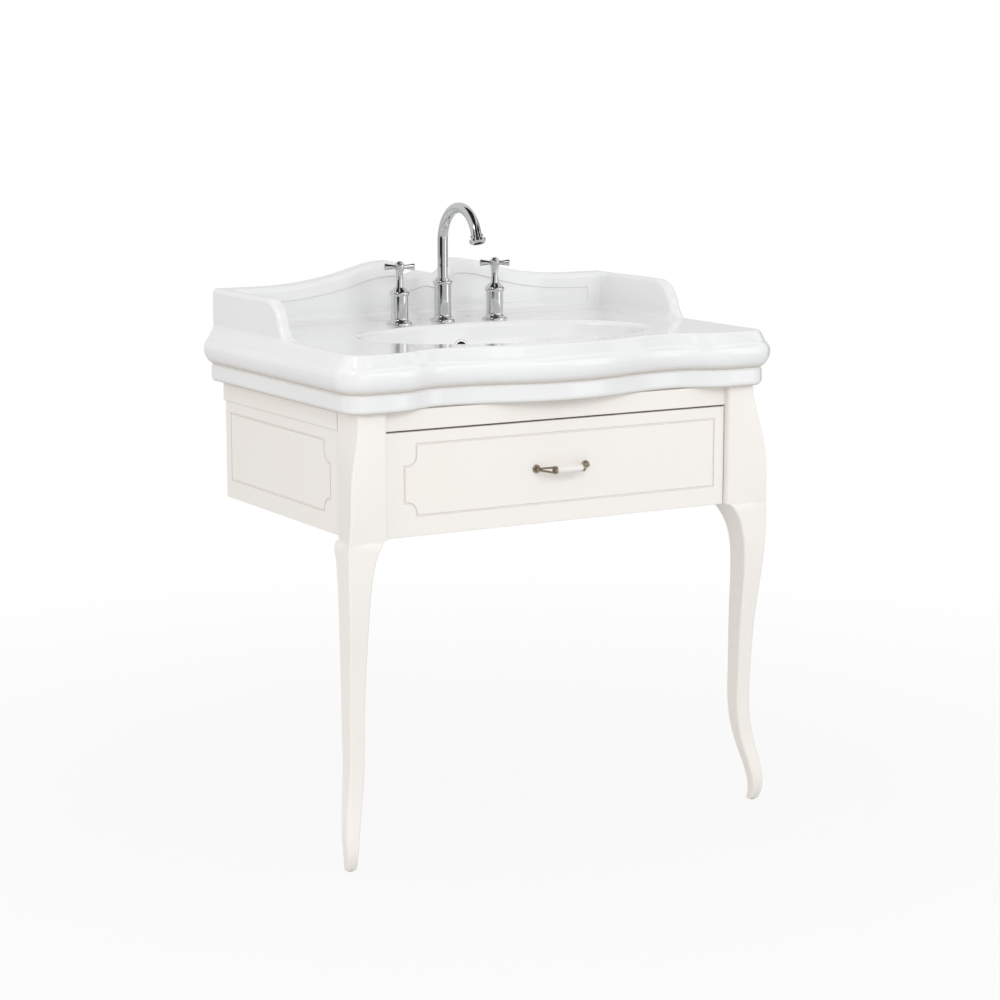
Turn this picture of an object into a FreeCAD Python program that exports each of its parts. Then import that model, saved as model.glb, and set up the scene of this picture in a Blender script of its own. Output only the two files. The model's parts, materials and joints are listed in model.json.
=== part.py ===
"""Vanity unit: a ceramic console basin on a two-legged drawer cabinet that hangs on a wall.

Millimetres, +Z up, +Y towards the wall, +X to the right of someone who faces the front.
The origin is on the floor, in the middle of the width and of the depth.
"""
import FreeCAD, Part
import math
import os
from types import SimpleNamespace

import Sketcher

SIZES = {
    # Basin, outside
    "basin_width": 840,
    "basin_depth": 560,
    "deck_height": 844,
    "rim_height": 95,
    "rim_hollow_width": 5,
    "rim_wall": 12,
    "deck_thickness": 15,
    "bulge_out": 14,
    "nose_drop": 36,
    "crease_drop": 18,
    "deck_edge_setback": 8,
    "deck_edge_radius": 6,
    "fascia_height": 28,
    "fascia_round": 9,
    "groove_width": 3,
    "groove_depth": 3,
    "centre_bow": 8,
    "recess_depth": 30,
    "recess_run": 105,
    "land_run": 40,
    "corner_inside_radius": 4,
    # Basin, bowl
    "bowl_length": 538,
    "bowl_breadth": 325,
    "bowl_depth": 150,
    "bowl_wall": 13,
    "bowl_to_wall": 328,
    "bowl_lip_radius": 8,
    # Basin, splashback and side returns
    "splash_thickness": 40,
    "splash_end_height": 67,
    "splash_hump_height": 104,
    "splash_dip_height": 77,
    "splash_bump_height": 83,
    "splash_flat_run": 47,
    "splash_turn_offset": 126,
    "splash_hump_offset": 67,
    "splash_dip_offset": 30,
    "splash_root": 8,
    "field_border": 26,
    "field_foot": 19,
    "field_end_gap": 15,
    "field_depth": 2.6,
    "field_round": 1.2,
    "return_setback": 5,
    "return_thickness": 22,
    "return_top_length": 217,
    "return_length": 318,
    "edge_round": 8,
    "corner_cove": 16,
    "deck_cove": 14,
    # Cabinet
    "face_setback": 53,
    "side_setback": 40,
    "carcass_height": 207,
    "board": 18,
    "front_rail_height": 33,
    "moulding_height": 31,
    "moulding_gap": 2,
    "moulding_thickness": 4,
    "moulding_drop": 4,
    "moulding_round": 2,
    "post_width": 52,
    "post_depth": 74,
    "post_front": 12,
    "post_side": 5,
    "hanging_rail_height": 72,
    "lower_rail_height": 56,
    "wall_hole_radius": 4.5,
    "wall_hole_spacing": 500,
    "glide_radius": 4.5,
    "glide_height": 2.5,
    "arris_round": 4,
    # Dowels
    "dowel_radius": 4,
    "dowel_length": 30,
    "dowel_clearance": 0.05,
    "dowel_end_gap": 0.5,
    "rail_dowel_inset": 9,
    "panel_dowel_inset": 30,
    "back_dowel_inset": 15,
    # Drawer
    "drawer_top_gap": 3,
    "drawer_side_gap": 1.4,
    "drawer_front_thickness": 20,
    "drawer_board": 12,
    "drawer_bottom_thickness": 8,
    "drawer_box_length": 410,
    "drawer_box_height": 100,
    "drawer_box_lift": 16,
    "well_width": 126,
    "well_clearance": 10,
    # Routed line on the drawer front and the side panels
    "line_width": 3,
    "line_depth": 1.6,
    "line_margin": 21,
    "line_foot": 33,
    "notch_margin": 36,
    "notch_step": 4,
    "notch_radius": 18,
    "notch_top_drop": 17,
    "notch_foot_drop": 4,
    # Drawer runners
    "runner_length": 400,
    "runner_height": 46,
    "runner_thickness": 12.7,
    "runner_sheet": 1.2,
    "runner_clearance": 0.05,
    "runner_outer_lip": 9,
    "runner_middle_start": 2.4,
    "runner_middle_web": 4.5,
    "runner_middle_lip": 10.4,
    "runner_inner_lip": 7.2,
    "runner_lift": 66,
    "runner_setback": 4,
    "batten_height": 60,
    # Drawer pull
    "pull_spacing": 96,
    "pull_lift": 92,
    "pull_reach": 27,
    "pull_foot_radius": 7,
    "pull_foot_height": 4,
    "pull_foot_edge": 1.5,
    "pull_neck_radius": 3.6,
    "pull_neck_height": 9,
    "pull_prong_radius": 1.8,
    "pull_prong_root": 1.2,
    "pull_prong_spread": 4.4,
    "pull_ferrule_radius": 6.6,
    "pull_ferrule_length": 4,
    "grip_length": 50,
    "grip_end_radius": 5.6,
    "grip_middle_radius": 7,
    "pull_screw_radius": 2,
    "pull_screw_head_radius": 4,
    "pull_screw_head_height": 2.4,
    "pull_screw_grip": 6,
    "screw_clearance": 0.3,
    # Waste
    "waste_hole_radius": 23,
    "waste_radius": 20.95,
    "waste_bore": 17,
    "waste_flange_radius": 33,
    "waste_flange_height": 4,
    "waste_recess": 3,
    "waste_recess_clearance": 1,
    "waste_length": 100,
    "waste_spigot_radius": 20,
    "waste_spigot_length": 45,
    "waste_shelf_drop": 36,
    "waste_shelf": 4,
    "waste_window_radius": 4.4,
    "waste_window_offset": 10.6,
    "waste_seal_height": 2,
    "waste_boss_radius": 37,
    "waste_boss_height": 4,
    "waste_gasket_height": 3,
    "waste_nut_radius": 30,
    "waste_nut_height": 12,
    "plug_radius": 28,
    "plug_height": 6,
    "plug_stem_radius": 4,
    "plug_gap": 0.3,
    "thread_clearance": 0.05,
    # Overflow
    "overflow_drop": 42,
    "overflow_radius": 12,
    "overflow_ring_radius": 13.8,
    "overflow_ring_height": 2.5,
    "overflow_ring_wall": 1.2,
    "overflow_seat": 2,
    "overflow_clearance": 0.2,
    "overflow_reach": 6,
    # Taps
    "tap_to_wall": 122,
    "spout_to_wall": 104,
    "tap_spacing": 97,
    "tap_hole_radius": 15,
    "tap_tail_radius": 10.4,
    "tap_tail_length": 77,
    "tap_spigot_radius": 7.5,
    "tap_spigot_length": 35,
    "tap_washer_radius": 19,
    "tap_washer_height": 3,
    "tap_nut_radius": 16,
    "tap_nut_height": 8,
    "tap_foot_radius": 22.5,
    "tap_foot_height": 5,
    "tap_step_radius": 18.5,
    "tap_step_height": 11,
    "tap_body_radius": 15.3,
    "valve_body_height": 50,
    "valve_collar_radius": 16.4,
    "valve_collar_height": 58,
    "valve_cone_radius": 9.5,
    "valve_cone_height": 65,
    "valve_neck_radius": 7.4,
    "valve_neck_height": 95,
    "valve_bore_radius": 5,
    "valve_bore_depth": 25,
    "hub_radius": 9,
    "hub_height": 12,
    "peg_radius": 4,
    "cap_radius": 6.5,
    "cap_height": 4.5,
    "arm_reach": 27,
    "arm_root_radius": 3.2,
    "arm_tip_radius": 6.2,
    "arm_tip_round": 2,
    "running_clearance": 0.05,
    "turning_gap": 0.3,
    "metal_round": 0.6,
    # Spout
    "pillar_body_height": 66,
    "pillar_collar_radius": 17,
    "pillar_collar_height": 72,
    "pillar_ring_radius": 13,
    "pillar_ring_height": 76,
    "spout_bore_radius": 6.5,
    "spout_bore_depth": 32,
    "spout_radius": 9.25,
    "spout_wall_thickness": 1.5,
    "spout_rise": 142,
    "spout_bend_radius": 62,
    "spout_end_length": 4,
    "nozzle_collar_radius": 11,
    "nozzle_collar_height": 3,
    "nozzle_neck_radius": 9.8,
    "nozzle_neck_height": 8,
    "nozzle_flange_radius": 14.5,
    "nozzle_flange_height": 12.5,
    "nozzle_tip_radius": 11.8,
    "nozzle_height": 15.5,
    "nozzle_bore": 8,
}

# Stations of the leg's curve. The post's are measured by their drop below the basin's seat, the upper
# ones by their drop below the post, and the lower ones by their height above the floor. Then come how
# far the front outer arris stands out sideways and forwards from the post's square corner, and below
# the post the width, the depth, and the slant of the front and outer faces.
POST_STATIONS = {
    "shoulder": (42, 4.5, 6.5),
    "swell": (90, 15.5, 12),
    "knee": (130, 21, 15),
}
UPPER_STATIONS = {
    "bracket": (12, 24.4, 13, 62, 68, 6.5),
    "flare": (26, 24.6, 13, 55, 62, 5.5),
    "neck": (44, 24.4, 13, 49, 56, 4.5),
    "thigh": (104, 22, 10, 39, 49, 2.5),
    "calf": (199, 16, -2, 31, 42, 1),
}
LOWER_STATIONS = {
    "shin": (235, 13, -10, 27, 36, 0.5),
    "ankle": (158, 14, -11, 27, 32, 0.5),
    "instep": (98, 23, -4, 27, 26, 0.5),
    "foot": (48, 30, 8, 23, 23, 0.5),
}
LEG_ENDS = {
    "apron_out": 24,
    "apron_forward": 13,
    "apron_leg_width": 72,
    "apron_leg_depth": 74,
    "toe_out": 27,
    "toe_forward": 0,
    "toe_width": 18,
    "toe_depth": 15,
    "toe_slant": 0.5,
}
STATION_MEASURES = "level", "out", "forward", "width", "depth", "slant"
SPOUT_SWEEP = 160
DECK_EDGE_SLOPE = 62
QUARTER = 90
FULL_TURN = 360
ARM_COUNT = 4
ARM_TURN = -30
WINDOW_COUNT = 3
NUT_SIDES = 6
# How round a collar's bead and a spindle's waist are, against their heights
BEAD_ROUND = 0.8
NECK_ROUND = 2.5
NEAR = 0.5


class Size:
    """A length together with the expression that works it out from the sheet."""

    def __init__(self, value, text):
        self.value = float(value)
        self.text = text

    def __add__(self, other):
        other = as_size(other)
        return Size(self.value + other.value, f"({self.text} + {other.text})")

    def __sub__(self, other):
        other = as_size(other)
        return Size(self.value - other.value, f"({self.text} - {other.text})")

    def __mul__(self, other):
        other = as_size(other)
        return Size(self.value * other.value, f"{self.text} * {other.text}")

    def __truediv__(self, other):
        other = as_size(other)
        return Size(self.value / other.value, f"({self.text}) / ({other.text})")

    def __neg__(self):
        return Size(-self.value, f"(0 - {self.text})")

    __radd__ = __add__
    __rmul__ = __mul__

    def __rsub__(self, other):
        return as_size(other) - self


def as_size(number):
    return number if isinstance(number, Size) else Size(number, f"{number}")


def fill_sheet(sheet, cells):
    """Write each size in its own row and return the sizes by name."""
    named = {}
    for row, (alias, value) in enumerate(cells.items(), start=1):
        sheet.set(f"A{row}", alias.replace("_", " "))
        sheet.set(f"B{row}", str(value))
        sheet.setAlias(f"B{row}", alias)
        named[alias] = Size(value, f"{sheet.Name}.{alias}")
    return SimpleNamespace(**named)


def all_cells():
    """The plain sizes, and the leg's stations as one cell for each measure."""
    cells = dict(SIZES)
    for name, values in {**POST_STATIONS, **UPPER_STATIONS, **LOWER_STATIONS}.items():
        for measure, value in zip(STATION_MEASURES, values):
            cells[f"{name}_{measure}"] = value
    cells.update(LEG_ENDS)
    return cells


doc = FreeCAD.newDocument("vanity_unit")
sheet = doc.addObject("Spreadsheet::Sheet", "Sizes")
d = fill_sheet(sheet, all_cells())
doc.recompute()
nodes = []

# Places that many pieces share
rim_width = d.rim_wall * 2 + d.groove_depth + d.rim_hollow_width
corner_radius = rim_width + d.corner_inside_radius
half_width = d.basin_width / 2
wall = d.basin_depth / 2
front = -wall
fascia_side = half_width - d.bulge_out
fascia_centre = front + d.bulge_out
fascia_land = fascia_centre + d.centre_bow
fascia_recess = fascia_land + d.recess_depth
seat = d.deck_height - d.rim_height
apron = seat - d.carcass_height
face = front + d.face_setback
side = half_width - d.side_setback
side_inner = side - d.board
post_outer = side + d.post_side
post_inner = post_outer - d.post_width
post_face = face - d.post_front
post_back = post_face + d.post_depth
return_outer = fascia_side - d.return_setback
return_inner = return_outer - d.return_thickness
land_offset = fascia_side - corner_radius - d.land_run
recess_offset = land_offset - d.recess_run
bowl_y = wall - d.bowl_to_wall
bowl_floor = d.deck_height - d.bowl_depth
deck_under = d.deck_height - d.deck_thickness
waste_seat = bowl_floor - d.waste_recess
waste_under = bowl_floor - d.bowl_wall - d.waste_boss_height
tap_y = wall - d.tap_to_wall
spout_y = wall - d.spout_to_wall


def bind(thing, name, size):
    """Tie one property to the sheet."""
    thing.setExpression(name, as_size(size).text)


def place(thing, x=0, y=0, z=0, axis=None, angle=0):
    """Give a sub-part its Placement, with its position tied to the sheet."""
    if axis:
        thing.Placement = FreeCAD.Placement(FreeCAD.Vector(), FreeCAD.Rotation(FreeCAD.Vector(*axis), angle))
    for letter, size in zip("xyz", (x, y, z)):
        if isinstance(size, Size):
            bind(thing, f"Placement.Base.{letter}", size)


def keep(thing, name):
    """Make a document object one of the part's nodes."""
    thing.Label = name
    nodes.append(thing)
    return thing


def new_body(name):
    body = doc.addObject("PartDesign::Body", name)
    body.Label = name
    return body


def new_sketch(body, role, offset=None):
    """Start a sketch on one of the body's own origin planes, moved along the plane's normal."""
    sketch = body.newObject("Sketcher::SketchObject", "Sketch")
    plane = next(item for item in body.Origin.OriginFeatures if item.Role == role)
    sketch.AttachmentSupport = (plane, [""])
    sketch.MapMode = "FlatFace"
    if offset is not None:
        bind(sketch, "AttachmentOffset.Base.z", offset)
    return sketch


def arc_between(start, finish, radius, turn):
    """The shorter arc from start to finish that bends left (turn 1) or right (turn -1)."""
    chord = finish - start
    middle = (start + finish) * 0.5
    left = FreeCAD.Vector(-chord.y, chord.x, 0).normalize()
    reach = math.sqrt(max(radius ** 2 - (chord.Length / 2) ** 2, 0))
    centre = middle + left * (turn * reach)
    first, last = (start, finish) if turn > 0 else (finish, start)
    angles = [math.atan2(p.y - centre.y, p.x - centre.x) for p in (first, last)]
    return Part.ArcOfCircle(Part.Circle(centre, FreeCAD.Vector(0, 0, 1), radius), *angles)


def smooth_radius(before, start, finish):
    """The radius of an arc from start to finish that carries on the line from before to start."""
    chord = finish - start
    return chord.Length / (2 * math.sin((start - before).getAngle(chord)))


def draw(sketch, corners, closed=True):
    """Draw an outline. A corner is (x, y), or (x, y, radius, turn) where a round edge leaves it.

    A round edge whose radius is None carries on smoothly from the edge before it.
    """
    points = [FreeCAD.Vector(as_size(c[0]).value, as_size(c[1]).value, 0) for c in corners]
    count = len(corners) if closed else len(corners) - 1
    first = sketch.GeometryCount
    edges = []
    ends = []
    rules = []
    for i in range(count):
        start = points[i]
        finish = points[(i + 1) % len(points)]
        turn = 1
        if len(corners[i]) == 2:
            edges.append(Part.LineSegment(start, finish))
        else:
            radius, turn = corners[i][2:]
            if radius is None:
                edges.append(arc_between(start, finish, smooth_radius(points[i - 1], start, finish), turn))
            else:
                edges.append(arc_between(start, finish, radius.value, turn))
                rules.append((("Radius", first + i), radius))
        ends.append((1, 2) if turn > 0 else (2, 1))
    for i in range(count):
        for letter, size in zip("XY", corners[i][:2]):
            rules.append(((f"Distance{letter}", -1, 1, first + i, ends[i][0]), as_size(size)))
    if not closed:
        for letter, size in zip("XY", corners[-1][:2]):
            rules.append(((f"Distance{letter}", -1, 1, first + count - 1, ends[-1][1]), as_size(size)))
    sketch.addGeometry(edges, False)
    joins = []
    for i in range(count if closed else count - 1):
        after = (i + 1) % count
        rule = "Tangent" if corners[after][2:3] == (None,) else "Coincident"
        joins.append(Sketcher.Constraint(rule, first + i, ends[i][1], first + after, ends[after][0]))
    sketch.addConstraint(joins)
    numbers = sketch.addConstraint([Sketcher.Constraint(*head, size.value) for head, size in rules])
    for number, (head, size) in zip(numbers, rules):
        bind(sketch, f"Constraints[{number}]", size)


def draw_circle(sketch, x, y, radius):
    """Draw one full circle."""
    x, y = as_size(x), as_size(y)
    centre = FreeCAD.Vector(x.value, y.value, 0)
    number = sketch.addGeometry(Part.Circle(centre, FreeCAD.Vector(0, 0, 1), radius.value), False)
    rules = [((f"Distance{letter}", -1, 1, number, 3), size) for letter, size in (("X", x), ("Y", y))]
    rules.append((("Radius", number), radius))
    for head, size in rules:
        bind(sketch, f"Constraints[{sketch.addConstraint(Sketcher.Constraint(*head, size.value))}]", size)


def ogee(start, finish, first_turn, share=0.5):
    """Two arcs that leave start and reach finish level, and meet at a share of the way."""
    run = finish[0] - start[0]
    rise = finish[1] - start[1]
    span = rise if rise.value > 0 else -rise
    reach = (run * run + rise * rise) / (span * 2)
    rest = 1 - as_size(share)
    middle = start[0] + run * share, start[1] + rise * share
    return [(start[0], start[1], reach * share, first_turn), middle + (reach * rest, -first_turn)]


def feature(body, kind, sketch, length=None, reverse=False):
    """Add a sketch-based feature to a body."""
    made = body.newObject(f"PartDesign::{kind}", kind)
    made.Profile = sketch
    if length is not None:
        bind(made, "Length", length)
    if reverse:
        made.Reversed = True
    return made


def revolve(body, corners, role="XZ_Plane"):
    """Turn an outline of (radius, height) corners about the sketch's upright axis."""
    sketch = new_sketch(body, role)
    draw(sketch, corners)
    made = body.newObject("PartDesign::Revolution", "Revolution")
    made.Profile = sketch
    made.ReferenceAxis = (sketch, ["V_Axis"])
    made.Angle = FULL_TURN
    return made


def turned(name, corners, **where):
    """A piece turned on its own Z axis and then put in place."""
    body = new_body(name)
    revolve(body, corners)
    place(body, **where)
    return body


def board(x, y, z):
    """A plain board between two places on each axis."""
    box = doc.addObject("Part::Box", "Board")
    for name_of_side, (low, high) in zip(("Length", "Width", "Height"), (x, y, z)):
        bind(box, name_of_side, high - low)
    place(box, x[0], y[0], z[0])
    return box


def mirror(source):
    """The same solids on the other side of the middle plane."""
    copy = doc.addObject("Part::Mirroring", "Mirrored")
    copy.Source = source
    copy.Normal = FreeCAD.Vector(1, 0, 0)
    return copy


def pair(source, name):
    """Keep a right-hand piece and make its left-hand fellow."""
    keep(source, f"right_{name}")
    keep(mirror(source), f"left_{name}")


def bundle(solids):
    """Several solids as one object."""
    compound = doc.addObject("Part::Compound", "Bundle")
    compound.Links = solids
    return compound


def both_sides(solids):
    """Right-hand solids together with their left-hand fellows."""
    right = bundle(solids)
    return bundle([right, mirror(right)])


def rod(radius, length, centre, axis):
    """A round rod of a given length about its centre, along X or Y."""
    cylinder = doc.addObject("Part::Cylinder", "Rod")
    bind(cylinder, "Radius", radius)
    bind(cylinder, "Height", length)
    x, y, z = centre
    if axis == "X":
        place(cylinder, x - length / 2, y, z, (0, 1, 0), QUARTER)
    else:
        place(cylinder, x, y - length / 2, z, (1, 0, 0), -QUARTER)
    return cylinder


def drilled(base, cutters):
    """A piece with round holes cut by other solids."""
    cut = doc.addObject("Part::Cut", "Drilled")
    cut.Base = base
    cut.Tool = cutters
    return cut


def edges_where(shape, test):
    """The names of the edges that pass a test of their box."""
    return [f"Edge{i}" for i, edge in enumerate(shape.Edges, start=1) if test(edge)]


def round_edges(body, radius, test):
    """Round the edges of a body's last feature that pass a test."""
    doc.recompute()
    base = body.Tip
    fillet = body.newObject("PartDesign::Fillet", "Fillet")
    fillet.Base = (base, edges_where(base.Shape, test))
    bind(fillet, "Radius", radius)
    doc.recompute()
    return fillet


def serpentine(inset):
    """The basin's front outline, set in from the fascia line, from the left end round to the right."""
    curves = (recess_offset, d.centre_bow + d.recess_depth), (land_offset - recess_offset, d.recess_depth)
    big, small = [(run * run + rise * rise) / (rise * 4) for run, rise in curves]
    side_x = fascia_side - inset
    land_y = fascia_land + inset
    recess_y = fascia_recess + inset
    corner = corner_radius - inset

    def joint(x, y, middle_x, middle_y):
        """Where two arcs meet, moved along the line of their centres."""
        return x + (middle_x - x) * (small - inset) / small, y + (middle_y - y) * (small - inset) / small

    land_joint = joint(land_offset, fascia_land + small, (land_offset + recess_offset) / 2,
                       (fascia_land + fascia_recess) / 2)
    bow_x = recess_offset / 2 * (big - inset) / big
    bow_y = fascia_centre + big + ((fascia_recess - fascia_centre) / 2 - big) * (big - inset) / big
    return [
        (-side_x, wall),
        (-side_x, land_y + corner, corner, 1),
        (corner - side_x, land_y),
        (-land_offset, land_y, small - inset, 1),
        (-land_joint[0], land_joint[1], small + inset, -1),
        (-recess_offset, recess_y, big + inset, -1),
        (-bow_x, bow_y, big - inset, 1),
        (bow_x, bow_y, big + inset, -1),
        (recess_offset, recess_y, small + inset, -1),
        (land_joint[0], land_joint[1], small - inset, 1),
        (land_offset, land_y),
        (side_x - corner, land_y, corner, 1),
        (side_x, land_y + corner),
        (side_x, wall),
    ]


def rim_point(out, up):
    """A corner of the rim's section at the outline's left end."""
    return -fascia_side - out, seat + up


def rim_crease():
    """Where the slope below the deck's rounded edge starts, and the crease where it meets the bullnose."""
    slope = math.radians(DECK_EDGE_SLOPE)
    start = d.deck_edge_radius * math.sin(slope) - d.deck_edge_setback
    drop = d.deck_edge_radius * (1 - math.cos(slope))
    crease = start + (d.crease_drop - drop) / math.tan(slope)
    return (start, d.rim_height - drop), (crease, d.rim_height - d.crease_drop)


def nose_radius(back, rise):
    """The radius of a bullnose arc that is upright at the nose and ends some way back from it."""
    return (back * back + rise * rise) / (back * 2)


def rim_section():
    """Flat seat, rounded fascia, a groove line, the bullnose above it and the deck's rounded edge."""
    nose = d.rim_height - d.nose_drop
    groove_top = d.fascia_height + d.groove_width
    slope, crease = rim_crease()
    zero = as_size(0)
    lower = nose_radius(d.bulge_out + d.groove_depth, nose - groove_top)
    upper = nose_radius(d.bulge_out - crease[0], crease[1] - nose)
    return [
        rim_point(-rim_width, zero),
        rim_point(-d.fascia_round, zero) + (d.fascia_round, -1),
        rim_point(zero, d.fascia_round),
        rim_point(zero, d.fascia_height),
        rim_point(-d.groove_depth, groove_top) + (lower, -1),
        rim_point(d.bulge_out, nose) + (upper, -1),
        rim_point(*crease),
        rim_point(*slope) + (d.deck_edge_radius, -1),
        rim_point(-d.deck_edge_setback, d.rim_height),
        rim_point(-rim_width, d.rim_height),
    ]


def rim_hollow():
    """The casting's hollow inside the rim, one wall in from the section."""
    inner = d.rim_wall - rim_width
    outer = -d.rim_wall - d.groove_depth
    crease = rim_crease()[1]
    return [
        rim_point(inner, d.rim_wall),
        rim_point(outer, d.rim_wall),
        rim_point(outer, d.fascia_height + d.groove_width),
        rim_point(d.bulge_out - d.rim_wall, d.rim_height - d.nose_drop),
        rim_point(crease[0] - d.rim_wall, crease[1]),
        rim_point(-d.deck_edge_setback - d.rim_wall / 2, d.rim_height - d.rim_wall),
        rim_point(inner, d.rim_height - d.rim_wall),
    ]


def swept(body, kind, section, path):
    """A section carried along the basin's outline."""
    profile = new_sketch(body, "XZ_Plane", -wall)
    draw(profile, section)
    pipe = body.newObject(f"PartDesign::{kind}", kind)
    pipe.Profile = profile
    pipe.Spine = (path, [])
    return pipe


def bowl_solid(body, kind, wall_thickness):
    """The lower half of an ellipsoid hung from the deck."""
    bowl = body.newObject(f"PartDesign::{kind}Ellipsoid", f"{kind}Bowl")
    bind(bowl, "Radius1", d.bowl_depth + wall_thickness)
    bind(bowl, "Radius2", d.bowl_length / 2 + wall_thickness)
    bind(bowl, "Radius3", d.bowl_breadth / 2 + wall_thickness)
    bowl.Angle1 = -QUARTER
    bowl.Angle2 = 0
    place(bowl, 0, bowl_y, d.deck_height)
    return bowl


def splash_top(end_x, drop):
    """The splashback's top line from one end over two humps to the other, moved down by a drop."""
    base = d.deck_height - drop
    ends = end_x, base + d.splash_end_height
    flat = return_inner - d.corner_cove - d.splash_flat_run, ends[1]
    hump = d.splash_hump_offset, base + d.splash_hump_height
    dip = d.splash_dip_offset, base + d.splash_dip_height
    bump = as_size(0), base + d.splash_bump_height
    left = [(-x, y) for x, y in (flat, hump, dip)]
    sweep = (d.splash_turn_offset - hump[0]) / (flat[0] - hump[0])
    line = [(-ends[0], ends[1])]
    line += ogee(left[0], left[1], 1, 1 - sweep) + ogee(left[1], left[2], -1) + ogee(left[2], bump, 1)
    line += ogee(bump, dip, -1) + ogee(dip, hump, 1) + ogee(hump, flat, -1, sweep)
    return line + [flat, ends]


def at_height(edge, z):
    box = edge.BoundBox
    return abs(box.ZMin - z.value) < NEAR and abs(box.ZMax - z.value) < NEAR


def at_depth(edge, y):
    box = edge.BoundBox
    return abs(box.YMin - y.value) < NEAR and abs(box.YMax - y.value) < NEAR


def make_splash(body):
    """Splashback and side returns, coved into each other and the deck, with rounded edges."""
    root = d.deck_height - d.splash_root
    top = d.deck_height + d.splash_end_height
    splash_y = wall - d.splash_thickness
    splash = new_sketch(body, "XZ_Plane", -wall)
    end_x = return_outer - d.return_thickness / 2
    draw(splash, splash_top(end_x, as_size(0)) + [(end_x, root), (-end_x, root)])
    feature(body, "Pad", splash, d.splash_thickness)
    run = (wall - d.return_top_length, top), (wall - d.return_length, root)
    for place_x in (-return_outer, return_inner):
        sketch = new_sketch(body, "YZ_Plane", place_x)
        draw(sketch, [(wall, root), (wall, top)] + ogee(run[0], run[1], 1) + [run[1]])
        feature(body, "Pad", sketch, d.return_thickness)

    def inner_corner(edge):
        middle = edge.CenterOfMass
        upright = edge.BoundBox.ZLength > d.splash_end_height.value / 2
        on_return = abs(abs(middle.x) - return_inner.value) < NEAR
        return upright and on_return and abs(middle.y - splash_y.value) < NEAR

    def top_edge(edge):
        box = edge.BoundBox
        above = box.ZMin > d.deck_height.value + d.splash_root.value
        return above and box.YMax < wall.value - NEAR and box.XLength + box.YLength > NEAR

    def splash_foot(edge):
        return at_height(edge, d.deck_height) and at_depth(edge, splash_y)

    round_edges(body, d.corner_cove, inner_corner)
    round_edges(body, d.edge_round, top_edge)
    round_edges(body, d.deck_cove, splash_foot)
    field = new_sketch(body, "XZ_Plane", -splash_y)
    foot = d.deck_height + d.field_foot
    field_end = return_inner - d.corner_cove - d.field_end_gap
    draw(field, splash_top(field_end, d.field_border) + [(field_end, foot), (-field_end, foot)])
    feature(body, "Pocket", field, d.field_depth)
    floor_y = splash_y + d.field_depth
    reach = field_end.value + NEAR

    def field_edge(edge):
        box = edge.BoundBox
        level = at_depth(edge, floor_y) or at_depth(edge, splash_y)
        low = foot.value - NEAR
        high = d.deck_height.value + d.splash_hump_height.value - d.field_border.value + NEAR
        return level and box.XMax < reach and box.XMin > -reach and box.ZMin > low and box.ZMax < high

    round_edges(body, d.field_round, field_edge)


def overflow_axis():
    """Where the overflow opens in the bowl's back wall, and the way it points into the wall."""
    half_breadth = d.bowl_breadth.value / 2
    depth = d.bowl_depth.value
    drop = d.overflow_drop.value
    reach = half_breadth * math.sqrt(1 - (drop / depth) ** 2)
    way = FreeCAD.Vector(0, reach / half_breadth ** 2, -drop / depth ** 2).normalize()
    return FreeCAD.Vector(0, bowl_y.value + reach, d.deck_height.value - drop), way


def overflow_place(depth):
    """A placement on the overflow's axis, some depth into the wall, with its Z into the wall."""
    mouth, way = overflow_axis()
    return FreeCAD.Placement(mouth + way * depth, FreeCAD.Rotation(FreeCAD.Vector(0, 0, 1), way))


def make_basin():
    """The ceramic casting: rim, deck, bowl, splashback and side returns."""
    body = new_body("basin")
    path = new_sketch(body, "XY_Plane", seat)
    draw(path, serpentine(as_size(0)), closed=False)
    swept(body, "AdditivePipe", rim_section(), path)
    swept(body, "SubtractivePipe", rim_hollow(), path)
    deck = new_sketch(body, "XY_Plane", deck_under)
    draw(deck, serpentine(rim_width - d.rim_wall / 2))
    feature(body, "Pad", deck, d.deck_thickness)
    bowl_solid(body, "Additive", d.bowl_wall)
    boss = new_sketch(body, "XY_Plane", waste_under)
    draw_circle(boss, 0, bowl_y, d.waste_boss_radius)
    feature(body, "Pad", boss, bowl_floor - waste_under)
    bowl_solid(body, "Subtractive", as_size(0))
    round_edges(body, d.bowl_lip_radius, lambda edge: (
        at_height(edge, d.deck_height) and isinstance(edge.Curve, Part.BSplineCurve)))
    make_splash(body)
    holes = new_sketch(body, "XY_Plane", d.deck_height)
    for x, y in ((-d.tap_spacing, tap_y), (as_size(0), spout_y), (d.tap_spacing, tap_y)):
        draw_circle(holes, x, y, d.tap_hole_radius)
    feature(body, "Pocket", holes, d.deck_thickness)
    recess = new_sketch(body, "XY_Plane", d.deck_height)
    draw_circle(recess, 0, bowl_y, d.waste_flange_radius + d.waste_recess_clearance)
    feature(body, "Pocket", recess, d.deck_height - waste_seat)
    drain = new_sketch(body, "XY_Plane", waste_seat)
    draw_circle(drain, 0, bowl_y, d.waste_hole_radius)
    feature(body, "Pocket", drain, waste_seat - waste_under)
    for name, radius, start, finish in (
        ("Seat", d.overflow_ring_radius + d.overflow_clearance, -d.overflow_reach, d.overflow_seat),
        ("Hole", d.overflow_radius, -d.overflow_reach, d.bowl_wall + d.overflow_reach),
    ):
        cutter = body.newObject("PartDesign::SubtractiveCylinder", f"Overflow{name}")
        bind(cutter, "Radius", radius)
        bind(cutter, "Height", finish - start)
        cutter.Placement = overflow_place(start.value)
    return keep(body, "basin")


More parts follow.
